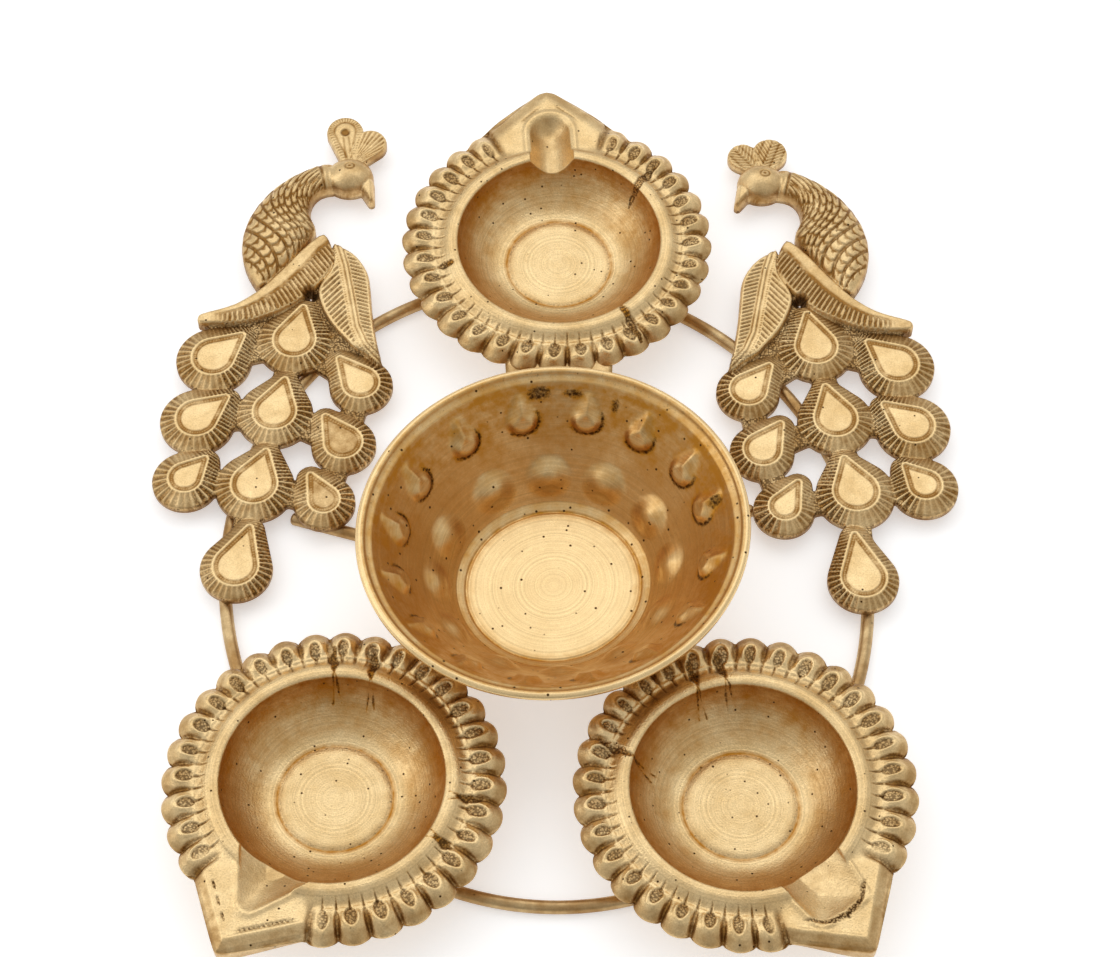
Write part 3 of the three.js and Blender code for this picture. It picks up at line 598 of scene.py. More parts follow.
# The profile runs from the cup's middle over the rim and the petals' crown to their edge, and back
# underneath to the foot
swing = np.linspace(0, math.pi / 2, 34)
cup_wall = np.stack([
    CUP_FLOOR_RADIUS + (CUP_LIP_RADIUS - CUP_FLOOR_RADIUS) * np.sin(swing) ** 1.25,
    CUP_FLOOR_THICKNESS + (LAMP_HEIGHT - CUP_LIP_DROP - CUP_FLOOR_THICKNESS) * (1 - np.cos(swing) ** 1.2),
], 1)
rim_line = rounded_line([
    cup_wall[-1], [32.6, 16.25], [33.3, 16.5], [34.6, LAMP_HEIGHT], [35.8, 16.35],
    [rim_outside, 15.7], [38.2, 15.0], [39.7, 14.7], [41.3, 15.0], [43.5, 15.5], [45.2, 15.35],
    [46.6, 14.7], [48.2, 13.7], [49.2, 12.95], [PETAL_RADIUS, PETAL_EDGE_HEIGHT]], 2)
under_line = rounded_line([
    [PETAL_RADIUS, PETAL_EDGE_HEIGHT], [PETAL_RADIUS - 0.05, PETAL_EDGE_HEIGHT - 0.35],
    [PETAL_RADIUS - 0.5, PETAL_UNDERSIDE]], 1)
foot_line = rounded_line([
    [CUP_LIP_RADIUS + CUP_WALL, PETAL_UNDERSIDE - 0.3], [28.5, 4.3], [LAMP_FOOT_RADIUS, 0]], 2)
lamp_top = chained(
    evenly(np.array([[0, CUP_FLOOR_THICKNESS], [CUP_FLOOR_RADIUS - 0.6, CUP_FLOOR_THICKNESS]]), 2.5),
    evenly(np.array([[CUP_FLOOR_RADIUS - 0.6, CUP_FLOOR_THICKNESS],
                     [CUP_FLOOR_RADIUS - 0.2, CUP_FLOOR_THICKNESS - 0.25],
                     cup_wall[1]]), 0.4),
    evenly(cup_wall[1:18], 0.9), evenly(cup_wall[17:], 0.42), evenly(rim_line, 0.29))
lamp_profile = chained(
    lamp_top, evenly(under_line, 0.16),
    evenly(np.array([under_line[-1], foot_line[0]]), 3.5), evenly(foot_line, 3),
    np.array([[LAMP_FOOT_RADIUS, 0], [LAMP_FOOT_RADIUS / 2, 0], [0, 0]]))


def petal_share(angle):
    """0 in the notches between petals, 1 on a petal's middle line, one half along the spout."""
    arch = np.sqrt(np.abs(np.sin(np.pi * np.abs(angle) / pitch_angle)))
    return np.where(np.abs(angle) < spout_half_angle, 0.5, arch)


def flange_reach(angle, spout):
    """The outline's distance from the lamp's middle: scallops, and the spout with its round tip."""
    away = np.abs(angle)
    scallops = PETAL_RADIUS - PETAL_NOTCH * (1 - petal_share(angle))
    blunt = np.sqrt((spout["reach"] * away) ** 2 + spout["tip_radius"] ** 2) - 0.35 * spout["tip_radius"]
    turn = SPOUT_SLOPE + np.clip(blunt / spout["reach"], 0, 1.2)
    side = spout["reach"] * math.sin(SPOUT_SLOPE) / np.sin(turn)
    side = np.where(away < 2 * spout_half_angle, side, 0)
    softness = 0.5
    mixed = 0.5 + 0.5 * np.clip((side - scallops) / softness, -1, 1)
    return scallops * (1 - mixed) + side * mixed + softness * 0.5 * mixed * (1 - mixed)


def petal_relief(radius, angle, seed):
    """Chased relief of the petals in the lamp's round plan: height, patina and soot beads."""
    chance = random.Random(seed)
    pitches = np.abs(angle) / pitch_angle
    index = np.floor(pitches + 1e-9)
    number = (index + np.where(angle < 0, 0, PETAL_PITCHES)).astype(int)
    vary = np.array([[chance.uniform(-1, 1) for _ in range(4)] for _ in range(2 * PETAL_PITCHES)])[number]
    phase = pitches - index - 0.5
    across = phase * pitch_angle * radius
    chased = smooth(2.2, 2.6, pitches)
    notch = 1 - petal_share(angle)

    # The petal's back is a low pillow, and its edge falls into the furrows beside it
    beside_spout = pitches - SPOUT_PITCHES / 2
    pillow = chased * smooth(39.5, 42, radius) * (1 - (phase * 2) ** 2)
    height = (PILLOW_RISE + 0.2 * vary[:, 3]) * pillow
    height -= FURROW_DEPTH * notch * smooth(39.8, 45, radius) * smooth(-0.1, 0.1, beside_spout)
    crevice = swell(beside_spout, 0.08, 0.13) * smooth(37.5, 41, radius)
    height -= 0.7 * crevice

    # Beaded eye, open towards the cup, inside a raised lip
    eye_middle = EYE["middle"] + 0.35 * vary[:, 0]
    eye_length = EYE["half_length"] + 0.25 * vary[:, 1]
    eye_width = EYE["half_width"] + 0.2 * vary[:, 2]
    along = (radius - eye_middle) / eye_length
    eye = (np.hypot(along, (across + 0.25 * vary[:, 3]) / eye_width) - 1) * eye_width
    in_eye = smooth(0.1, -0.25, eye) * chased
    eye_line = swell(eye, -0.1, 0.2) * chased * smooth(-1.1, -0.6, along)
    lip = swell(eye, 0.6, 0.45) * smooth(-0.9, 0.1, along) * chased
    height += EYE["lip"] * lip - EYE["depth"] * in_eye - 0.12 * eye_line

    # Slots between the rim and the petals, two for each petal, with smooth hollows between
    slot_phase = (phase * 2 + 0.5) % 1 - 0.5
    slot_across = slot_phase * pitch_angle / 2 * radius
    slot_along = (radius - SLOT["middle"]) / SLOT["half_length"]
    slot_width = SLOT["half_width"] * np.sqrt(np.clip(1 - slot_along ** 2, 0, 1)) * (0.7 + 0.3 * slot_along)
    slotted = smooth(2.1, 2.6, pitches)
    in_slot = smooth(0.1, -0.25, np.abs(slot_across) - slot_width) * (np.abs(slot_along) < 1) * slotted
    between_slots = 1 - (2 * np.abs(np.abs(slot_phase) - 0.5)) ** 2
    hollow = np.sin(np.pi * np.clip((radius - 36.9) / 2.9, 0, 1)) * between_slots * slotted
    ridge = swell(radius, 39.9, 0.35) * slotted * smooth(0.15, 0.3, np.abs(slot_phase))
    height += 0.18 * ridge - SLOT["depth"] * in_slot - 0.3 * hollow

    # Beaded wedge in each furrow
    from_furrow = (0.5 - np.abs(phase)) * pitch_angle * radius
    wedge_along = (radius - WEDGE["middle"]) / WEDGE["half_length"]
    wedge_width = WEDGE["half_width"] * np.sqrt(np.clip(1 - wedge_along ** 2, 0, 1))
    in_wedge = smooth(0.2, -0.3, from_furrow - wedge_width) * (np.abs(wedge_along) < 1) * chased
    height -= WEDGE["depth"] * in_wedge

    beads = np.clip(0.7 * in_eye + 0.2 * eye_line + 0.6 * in_slot + 0.4 * in_wedge + 0.5 * crevice, 0, 1)
    patina_and_shade = (0.45 * in_eye + 0.3 * eye_line + 0.8 * in_slot + 0.7 * in_wedge + 0.7 * crevice
              + 0.35 * smooth(45.4, 47.5, radius) + 0.5 * notch * smooth(41, 47, radius)
              + 0.25 * hollow - 0.3 * lip)
    return height, np.clip(patina_and_shade, 0, 1), beads


def soft_minimum(a, b, reach):
    """The smaller of two values, with a rounded change from one to the other."""
    mixed = np.clip(0.5 + 0.5 * (b - a) / reach, 0, 1)
    return b * (1 - mixed) + a * mixed - reach * mixed * (1 - mixed)


def inside_scoop(x, y, scoop):
    """How far a point is inside the scoop's outline, which narrows outwards from the cup."""
    side = scoop["half_width"] - scoop["taper"] * np.maximum(0, x - CHANNEL_START)
    side = side - np.hypot(y, 1.5) + 0.6
    return soft_minimum(side / math.hypot(1, scoop["taper"]), scoop["end"] - x, scoop["corner"])


def from_trough(x, y):
    """Distance from the trough's middle line, which stops where its round end begins."""
    beyond = np.maximum(0, x - TROUGH["end"] + TROUGH["half_width"])
    return np.hypot(beyond, y)


def spout_relief(x, y, lamp):
    """The spout's plate, sloping at its edges, with a ridge or a lip and a chased line inside them:
    height, patina with painted shade on the slopes and at the edge, and soot beads."""
    spout = BLUNT_SPOUT if lamp["round"] else POINTED_SPOUT
    edge = (spout["reach"] - x) * math.sin(SPOUT_SLOPE) - np.abs(y) * math.cos(SPOUT_SLOPE)
    if lamp["round"]:
        lip = swell(from_trough(x, y), TROUGH["half_width"] + 0.9, 0.9)
        height = PLATE_HEIGHT - 1.2 * smooth(1.2, -0.3, edge) - 1.1 * smooth(5.5, 0.5, edge) + 0.55 * lip
        line = swell(edge, 5.4, 0.28) * smooth(2, 3.5, np.abs(y)) * smooth(9.5, 8, np.abs(y))
        beads, depth = 0.35 * line, 0.12
        slope = 0.3 * smooth(4.5, 3, edge)
    else:
        height = PLATE_HEIGHT - 1.1 * smooth(1, -0.3, edge) - 0.9 * smooth(3.4, 0.4, edge)
        height = height + 0.35 * swell(edge, 3.6, 0.7)
        height = height + 0.45 * swell(inside_scoop(x, y, SCOOPS[lamp["name"]]), -0.8, 0.8)
        slope = 0.45 * smooth(3.4, 2.4, edge)
        past_scoop = smooth(43.5, 45, np.hypot(x, y))

    # A wavering line round the tip of the right lamp; dashes and ticks beside the left lamp's scoop
    if lamp["name"] == "diya_right":
        rounded = 6.9 + 2.6 * swell(y, 0, 3.5)
        line = smooth(0.9, 0.4, np.abs(edge - rounded)) * past_scoop * smooth(14.5, 11, np.abs(y))
        beads, depth = line, 0.3
    if lamp["name"] == "diya_left":
        dashes = smooth(-0.2, 0.25, np.cos(2 * np.pi * x / 3.4))
        ticks = smooth(0.7, 0.3, np.abs(edge - 5)) * (0.6 + 0.4 * np.cos(2 * np.pi * x / 0.9))
        line = np.where(y < 0, smooth(0.4, 0.15, np.abs(edge - 5)) * dashes, ticks)
        line = line * past_scoop * smooth(1, 3, np.abs(y))
        beads, depth = 0.9 * line, 0.3
    # The slopes and the outer edge are painted darker: painted shade
    patina_and_shade = 0.5 * line + 0.2 * smooth(1, 0, edge) + slope
    return height - depth * line, patina_and_shade, beads


def channel_floor(x, y, lamp):
    """Height of the wick channel's surface above the foot, far above the lamp outside it."""
    if lamp["round"]:
        share = from_trough(x, y) / TROUGH["half_width"]
        bottom = LAMP_HEIGHT - CHANNEL_DEPTH
        floor = bottom + (PLATE_HEIGHT + 0.8 - bottom) * share ** 2.1
        return np.where(share < 1, floor, NO_CHANNEL)
    scoop = SCOOPS[lamp["name"]]
    within = inside_scoop(x, y, scoop)
    deep = np.clip(within / 7, 0, 1) ** 0.75
    floor = PLATE_HEIGHT + 0.3 - scoop["depth"] * (1 - 0.02 * np.maximum(0, x - CHANNEL_START)) * deep
    return np.where(within > 0, floor, NO_CHANNEL)


def scars_and_cracks(x, y, lamp):
    """Ragged sprue marks over the rim, and the two cracks that some of them run out into."""
    scars, cracks = np.zeros(len(x)), np.zeros(len(x))
    for start, end, open_share in lamp["scars"]:
        near, far = [np.array([reach * math.cos(math.radians(turn)), reach * math.sin(math.radians(turn))])
                     for reach, turn in (start, end)]
        ragged = 0.2 * np.sin(1.3 * x + start[1]) + 0.15 * np.sin(2.1 * y + 2 * start[1])
        away, share = beside_line(x, y, near, far)
        width = 0.15 + 1.2 * np.sin(math.pi * np.clip(share / open_share, 0, 1)) ** 0.8
        within = smooth(width + 0.2, 0.7 * width, away + ragged) * (share > 0)
        scars = np.maximum(scars, within * smooth(open_share + 0.02, open_share - 0.04, share))
        if open_share == 1:
            continue
        sideways = np.array([near[1] - far[1], far[0] - near[0]]) / math.dist(near, far)
        fork = 0.55 * far + 0.45 * near
        for spread in (1.3, -1.1):
            away = beside_line(x, y, fork, far + spread * sideways)[0]
            cracks = np.maximum(cracks, smooth(0.42, 0.12, away + 0.7 * ragged))
    return scars, cracks


# Cast brass, tumbled to a satin: pale on worn tops, brown in the hollows, soot in the chasing
cast_brass = aged_brass("tumbled_cast_brass", bright="#F3D59F", tan="#E3C28A", brown="#9B7038",
                        turned_brown="#BC802C", soot_and_shade="#4A3218", roughness=0.31, spread=0.14,
                        pit_size=3.6, grain=0.17, casting=0.11)


def add_lug(shape):
    """A flat bar from under the back lamp's petals to the bowl, its end shaped to the wall. Its
    points have the order -1."""
    order = shape.verts.layers.float["order"]
    centre_x, centre_y = LAMPS[0]["centre"]
    start = centre_y - PETAL_RADIUS + PETAL_NOTCH + LUG_OVERLAP
    made = bmesh.ops.create_grid(shape, x_segments=24, y_segments=10, size=0.5)["verts"]
    faces = list({face for corner in made for face in corner.link_faces})
    raised = bmesh.ops.extrude_face_region(shape, geom=faces)["geom"]
    top = {part for part in raised if isinstance(part, bmesh.types.BMVert)}
    for corner in set(made) | top:
        share = corner.co.y + 0.5
        width = LUG_END_WIDTH + (LUG_WIDTH - LUG_END_WIDTH) * share
        x = centre_x + corner.co.x * width
        inset = 0.35 if abs(corner.co.x) > 0.499 and corner in top else 0
        z = SEAT_HEIGHT + LUG_TOP - (0 if corner in top else LUG_THICKNESS) - inset
        wall = bowl_radius(z) / BOWL_OVALNESS + LUG_GAP
        end = math.sqrt(wall ** 2 - x ** 2)
        corner.co = x, end + (start - end) * share, z
        corner[order] = -1
    bmesh.ops.recalc_face_normals(shape, faces=shape.faces)


def flange_plan(base, angle, on_top, lamp):
    """Draws the round flange outside the rim out to the petals and the spout: each point's place in
    plan, whether it is in the spout, and how near it is to the spout's middle line."""
    reach = flange_reach(angle, BLUNT_SPOUT if lamp["round"] else POINTED_SPOUT)
    outline = np.maximum(reach, PETAL_RADIUS - PETAL_NOTCH)
    under_start = CUP_LIP_RADIUS + CUP_WALL
    spread_out = np.where(on_top, (base - rim_outside) / (PETAL_RADIUS - rim_outside),
                          (base - under_start) / (PETAL_RADIUS - 0.5 - under_start))
    spread_out = np.clip(spread_out, 0, 1)
    in_spout = smooth(spout_half_angle + 0.06, spout_half_angle - 0.12, np.abs(angle))
    share = spread_out * in_spout + smooth(0.45, 1, spread_out) * (1 - in_spout)
    radius = base + share * (outline - PETAL_RADIUS)
    along_spout = smooth(1, 0, np.abs(angle) / spout_half_angle)
    shift = spread_out * (1 - along_spout)
    x = radius * np.cos(angle) + shift * PETAL_SHIFT[0]
    y = radius * np.sin(angle) + shift * PETAL_SHIFT[1]
    return x, y, in_spout, along_spout


def lamp_mesh(lamp):
    """One lamp: the spun profile, its flange drawn out, its relief and channel cut, set in place."""
    shape = spun(lamp_profile, LAMP_SECTORS, LAMP_SECTOR_STEPS)
    if lamp["round"]:
        add_lug(shape)
    mesh = mesh_of(lamp["name"], shape)
    order = taken_field(mesh, "order")
    on_lug = order < -0.5
    on_top = (order < len(lamp_top) - 0.5) & ~on_lug
    points = points_of(mesh)
    base, low = np.hypot(points[:, 0], points[:, 1]), points[:, 2]
    angle = np.arctan2(points[:, 1], points[:, 0])
    angle = angle - SPOUT_CROWDING * np.sin(angle)

    # The petals' relief, and the spout's plate over it
    x, y, in_spout, along_spout = flange_plan(base, angle, on_top, lamp)
    relief, patina_and_shade, beads = petal_relief(base, angle, lamp["seed"])
    plate, plate_patina_and_shade, plate_beads = spout_relief(x, y, lamp)
    plate_share = in_spout * smooth(rim_outside - 1.6, rim_outside + 1.2, base) * on_top
    height = low + relief * on_top * (base > CUP_LIP_RADIUS + 1)
    height = height * (1 - plate_share) + plate * plate_share
    beads = beads * (1 - plate_share) * on_top + plate_beads * plate_share
    patina_and_shade = patina_and_shade * (1 - plate_share) * on_top + plate_patina_and_shade * plate_share

    scars, cracks = [marks * on_top for marks in scars_and_cracks(x, y, lamp)]
    height -= SCAR_DEPTH * scars * smooth(CUP_LIP_RADIUS - 3, CUP_LIP_RADIUS + 1, base) + 0.1 * cracks
    beads = np.maximum(beads, 0.85 * scars)

    # Under the spout the edge is a deep keel, with its top at the plate's edge
    side = smooth(PETAL_EDGE_HEIGHT + 0.02, PETAL_UNDERSIDE + 0.1, low) * ~on_top
    keel = side * smooth(20, 34, base)
    edge_top = (PLATE_HEIGHT - 1.35) * in_spout + PETAL_EDGE_HEIGHT * (1 - in_spout)
    lift = (edge_top - PETAL_EDGE_HEIGHT) * (1 - side) * (low > 9)
    height = np.where(on_top, height, low + lift - SPOUT_KEEL * along_spout * keel)

    channel = channel_floor(x, y, lamp)
    wet = on_top & (x > 0.55 * CUP_LIP_RADIUS) & (channel < NO_CHANNEL)
    cut = smooth(-0.3, 0.4, height - channel) * wet
    height = np.where(wet, soft_minimum(height, channel, 0.35), height)
    beads = beads * (1 - cut)

    # The cup's wall is painted browner, in the orange of the turned faces, up towards the lip: painted
    # reflection of the cup in itself. The oil's dregs lie in the floor's corner
    in_cup = on_top & (base < CUP_LIP_RADIUS)
    cup_painted_reflection = (0.36 + 0.36 * smooth(5, 13, low)) * smooth(CUP_FLOOR_THICKNESS, 4, low)
    patina_and_shade = np.where(in_cup, cup_painted_reflection, patina_and_shade + 0.05)
    floor_edge = swell(base, CUP_FLOOR_RADIUS, 0.5) * in_cup
    patina_and_shade = np.clip(patina_and_shade + 0.8 * floor_edge, 0, 1) * (1 - cut) + 0.22 * cut
    patina_and_shade = np.maximum(patina_and_shade, 0.95 * np.maximum(scars, cracks))
    dregs = swell(base, CUP_FLOOR_RADIUS - 1, 1.1) * in_cup
    furrow = (1 - petal_share(angle)) * smooth(43, 48, base) * on_top * (1 - in_spout)
    soot_and_shade_share = np.maximum(0.42 * dregs + 0.3 * furrow, np.maximum(0.36 * scars, 0.55 * cracks))
    turned = on_top & (base < rim_outside) & (cut < 0.1)

    keep_field(mesh, "patina_and_shade", np.clip(np.where(on_top, patina_and_shade, 0.45), 0, 1))
    keep_field(mesh, "beads", np.clip(beads, 0, 1))
    keep_field(mesh, "soot_and_shade", np.clip(soot_and_shade_share, 0, 1))
    keep_field(mesh, "turning", np.where(turned, base + 0.01, 0))
    turn = math.radians(lamp["spout"])
    moved = np.stack([lamp["centre"][0] + x * math.cos(turn) - y * math.sin(turn),
                      lamp["centre"][1] + x * math.sin(turn) + y * math.cos(turn),
                      height + SEAT_HEIGHT], 1)
    move_points(mesh, np.where(on_lug[:, None], points, moved))
    return mesh


for lamp in LAMPS:
    brass_piece(lamp["name"], lamp_mesh(lamp), cast_brass)


# Peacocks: two flat, pierced castings of one pattern, the left one reversed. Neck and head stand
# up as half-round domes, wings and feathers are flat with chased lines, and the ground between is
# stippled and dark. Each is brazed to the ring below it and rests on its strut.

BIRD_PITCH = 0.28
BIRD_EDGE = 2.4
BIRD_FILLET = 0.7
PIN_HOLE = {"place": (0, 1.5), "radius": 2.3, "low_share": 0.12}
EYE_TOP = 4.15
FEATHER_SKIRT = 5.2
FEATHER_TIP_RADIUS = 4.6
BARB_PITCH = 1.35
WEB_WIDTH = 8
FEATHERS = [
    {"tip": (1.9, -4.3), "lean": 101, "width": 13.4, "length": 18.9},
    {"tip": (21, -15), "lean": 137, "width": 13.6, "length": 18.5},
    {"tip": (-12.4, -24), "lean": 52, "width": 11.7, "length": 17, "skirt": 4.2},
    {"tip": (24.7, -38.5), "lean": 139, "width": 13.1, "length": 18},
    {"tip": (6.5, -32), "lean": 103, "width": 13.5, "length": 18.5},
    {"tip": (-8.3, -45.8), "lean": 57, "width": 11.9, "length": 16.8, "skirt": 4.2},
    {"tip": (29.9, -61.2), "lean": 130, "width": 10.5, "length": 14},
    {"tip": (11, -58.6), "lean": 105, "width": 14.2, "length": 19},
    {"tip": (-4.2, -67.3), "lean": 62, "width": 9.7, "length": 14.4, "skirt": 4.7},
]
WEBS = [(0, 1), (0, 2), (0, 4), (1, 3), (2, 5), (3, 4), (3, 6),
        (4, 5), (4, 7), (5, 8), (6, 7), (7, 8), (7, 9)]
WING_HEIGHT = 5
WING_BEVEL = {"depth": 1, "width": 1.1}
LONG_WING = [
    (-6, 22), (-2.4, 26.2), (14.5, 4), (22.1, -2.1), (26.8, -4.3), (32.7, -6.1),
    (35.4, -7.2), (35.7, -9), (34.6, -10.8), (26.4, -10.5), (19.3, -9.7), (14.6, -7.9),
    (8.7, -5.2), (4, -2.4), (0, 1.9), (-3.4, 5.5), (-7.5, 12.5)]
LONG_WING_LENGTH = 49
LONG_WING_BARS = {"pitch": 1.5, "crest": 0.52}
FOLDED_WING = [
    (-6, 21.8), (-10.3, 19.1), (-14, 16.5), (-17.2, 12), (-18.9, 7.5), (-19.5, 1.6),
    (-20.2, -5.7), (-21.4, -13.7), (-22.5, -19.5), (-24, -25.2), (-22.8, -26.8), (-18.6, -22),
    (-14.4, -19.5), (-12.2, -16.6), (-8.5, -12.3), (-5.3, -7.2), (-2.2, 1), (-3.4, 5.5), (-7.5, 12.5)]
OUTER_BARS = {"pitch": 1.32, "crest": 0.58}
INNER_BARS = {"pitch": 1.55, "crest": 0.58}
MIDRIB = [(-8.5, 21), (-11.1, 12.2), (-13.2, 1.5), (-15.7, -11.8), (-18.5, -18.5), (-24, -25)]
BREAST = [(-19, -22), (-15, 12), (14, 3), (30, -9), (30, -22), (4, -22), (-14, -34)]
NECK_HEIGHT = 8.4
NECK_BACK = [
    (-5.5, 55), (0.3, 52.4), (5.2, 50), (10, 46.6), (14.7, 42.3), (18.7, 36.8),
    (21.5, 31.2), (23, 25), (23.2, 19.5), (22.1, 13.5), (20, 8.3), (17, 3.4)]
NECK_THROAT = [
    (-6.5, 43.2), (-2.4, 42.4), (0, 40.4), (1.3, 37.6), (1.6, 34.6), (1, 31.6),
    (-0.4, 28.8), (-0.8, 25.6), (1.8, 21), (6, 15), (10.2, 9.2), (13.4, 5.6)]
TILE_LENGTH = 3.4
ROW_ROUNDS = 12
NECK_RISE = [0.8, 0.85, 0.88, 0.92, 0.96, 1, 1, 1, 0.94, 0.85, 0.74, 0.6]
HEAD = {"centre": (-10.9, 48.5), "length": 15.8, "width": 13.8, "height": 8.2}
BEAK = {"root": (-16.4, 45.5), "radius": 2.8, "tip_radius": 1.2, "height": 5.3}
CREST_ROOT = {"place": (-10.8, 53), "radius": 1.9}
CREST_HEIGHT = 3.6
CREST_BEVEL = {"depth": 0.9, "width": 1.1}
CUT_BEVEL = {"depth": 0.45, "width": 0.6}
BIRDS = [
    {"name": "peacock_left", "side": -1, "origin": (-78.3237, 102.8145), "eye": (-11.1, 50),
     "beak": (-18.3, 39), "moves": {2: 1.8, 5: 1.4, 8: 1}, "dull": (5, 8),
     "crest": [((-8.7, 67.6), 6.1), ((-17.2, 62.8), 5.5)], "ropes": False,
     "last": {"tip": (14.6, -86), "lean": 105, "width": 13.8, "length": 20.6, "skirt": 4.2}},
    {"name": "peacock_right", "side": 1, "origin": (79.1256, 100.1903), "eye": (-9.8, 49.5),
     "beak": (-18.9, 39.9), "moves": {2: 1.4, 8: 0.5}, "dull": (),
     "crest": [((-7.6, 61.4), 5.8), ((-16.4, 59.9), 5.2)], "ropes": True,
     "last": {"tip": (12.8, -86), "lean": 98, "width": 13.8, "length": 21.6, "skirt": 4}},
]


def rounded_loop(corners, rounds):
    """Cuts the corners off a closed outline, as many times as rounds says."""
    loop = np.array(corners, float)
    for _ in range(rounds):
        ahead = np.roll(loop, -1, axis=0)
        loop = np.stack([0.75 * loop + 0.25 * ahead, 0.25 * loop + 0.75 * ahead], 1).reshape(-1, 2)
    return loop


def outline_distance(x, y, loop):
    """Each point's distance from a closed outline, negative inside it."""
    nearest = np.full(len(x), 1e9)
    inside = np.zeros(len(x), bool)
    for start, end in zip(loop, np.roll(loop, -1, axis=0)):
        nearest = np.minimum(nearest, beside_line(x, y, start, end)[0])
        if start[1] != end[1]:
            crossing = (start[1] > y) != (end[1] > y)
            share = (y - start[1]) / (end[1] - start[1])
            inside ^= crossing & (x < start[0] + share * (end[0] - start[0]))
    return np.where(inside, -nearest, nearest)


def along_line(x, y, line):
    """Distance from an open line, the nearest place along it, and which side of it the point is."""
    nearest, place = np.full(len(x), 1e9), np.zeros(len(x))
    side, passed = np.zeros(len(x)), 0
    for start, end in zip(line, line[1:]):
        away, share = beside_line(x, y, start, end)
        step = math.dist(start, end)
        closer = away < nearest
        nearest = np.where(closer, away, nearest)
        place = np.where(closer, passed + share * step, place)
        turn = (end[0] - start[0]) * (y - start[1]) - (end[1] - start[1]) * (x - start[0])
        side = np.where(closer, np.sign(turn), side)
        passed += step
    return nearest, place, side


def feather_middle(feather):
    """The centre of the feather's round end."""
    lean, reach = math.radians(feather["lean"]), feather["length"] - feather["width"] / 2
    return feather["tip"][0] - reach * math.cos(lean), feather["tip"][1] - reach * math.sin(lean)


def train_of(bird):
    """The bird's feathers; a few of its inner ones sit a little further out than the pattern's."""
    train = [dict(feather) for feather in FEATHERS] + [bird["last"]]
    for number, move in bird["moves"].items():
        x, y = train[number]["tip"]
        train[number]["tip"] = (x + move, y)
    return train


def lobe_distance(x, y, feather):
    """Distance from the outline of the feather's lobe, which is its eye and the skirt of barbs."""
    radius = feather["width"] / 2 + feather.get("skirt", FEATHER_SKIRT)
    return drop_distance(x, y, feather_middle(feather), radius, feather["tip"], FEATHER_TIP_RADIUS)[0]


def head_share(x, y):
    """0 in the middle of the head and 1 on its oval outline."""
    across = (x - HEAD["centre"][0]) * 2 / HEAD["length"]
    return np.hypot(across, (y - HEAD["centre"][1]) * 2 / HEAD["width"])


def beak_distance(x, y, bird):
    """Distance from the beak's outline."""
    return drop_distance(x, y, BEAK["root"], BEAK["radius"], bird["beak"], BEAK["tip_radius"])[0]


long_wing = rounded_loop(LONG_WING, 2)
folded_wing = rounded_loop(FOLDED_WING, 2)
neck_loop = rounded_loop(NECK_BACK + NECK_THROAT[::-1], 1)
wing_top_line = rounded_line(LONG_WING[1:7], 3)
wing_foot_line = LONG_WING[8:]


def bird_distance(x, y, bird):
    """Distance from the whole bird's outline, negative in the metal."""
    train = train_of(bird)
    parts = [outline_distance(x, y, np.array(BREAST, float))]
    parts += [outline_distance(x, y, loop) for loop in (long_wing, folded_wing, neck_loop)]
    parts += [lobe_distance(x, y, feather) for feather in train]
    for first, second in WEBS:
        start, end = feather_middle(train[first]), feather_middle(train[second])
        along, beside = along_and_beside(x, y, start, end)
        past_end = np.maximum(-along, along - math.dist(start, end))
        parts.append(np.maximum(np.abs(beside) - WEB_WIDTH / 2, past_end))
    parts.append((head_share(x, y) - 1) * HEAD["width"] / 2)
    parts.append(beak_distance(x, y, bird))
    parts += [drop_distance(x, y, centre, radius, CREST_ROOT["place"], CREST_ROOT["radius"])[0]
              for centre, radius in bird["crest"]]
    whole = parts[0]
    for part in parts[1:]:
        whole = soft_minimum(whole, part, BIRD_FILLET)
    hole = PIN_HOLE["radius"] - np.hypot(x - PIN_HOLE["place"][0], y - PIN_HOLE["place"][1])
    return np.maximum(whole, hole)


def bars(place, pitch, crest):
    """1 on the raised bars of a row and 0 in the gaps; crest is the bars' share of the pitch."""
    wave = np.cos(2 * np.pi * place / pitch)
    level = math.cos(math.pi * crest)
    return smooth(level - 0.35, level + 0.35, wave)


def line_at(distance, place, width):
    """1 on a chased line at a distance, fading to 0 over about its width."""
    return swell(distance, place, 0.6 * width)


def bevelled(edge, bevel):
    """How far the surface has fallen at a rounded edge: nothing inside, the depth on the outline."""
    return bevel["depth"] * (1 - np.sqrt(np.clip(1 - np.clip(1 + edge / bevel["width"], 0, 1) ** 2, 0, 1)))


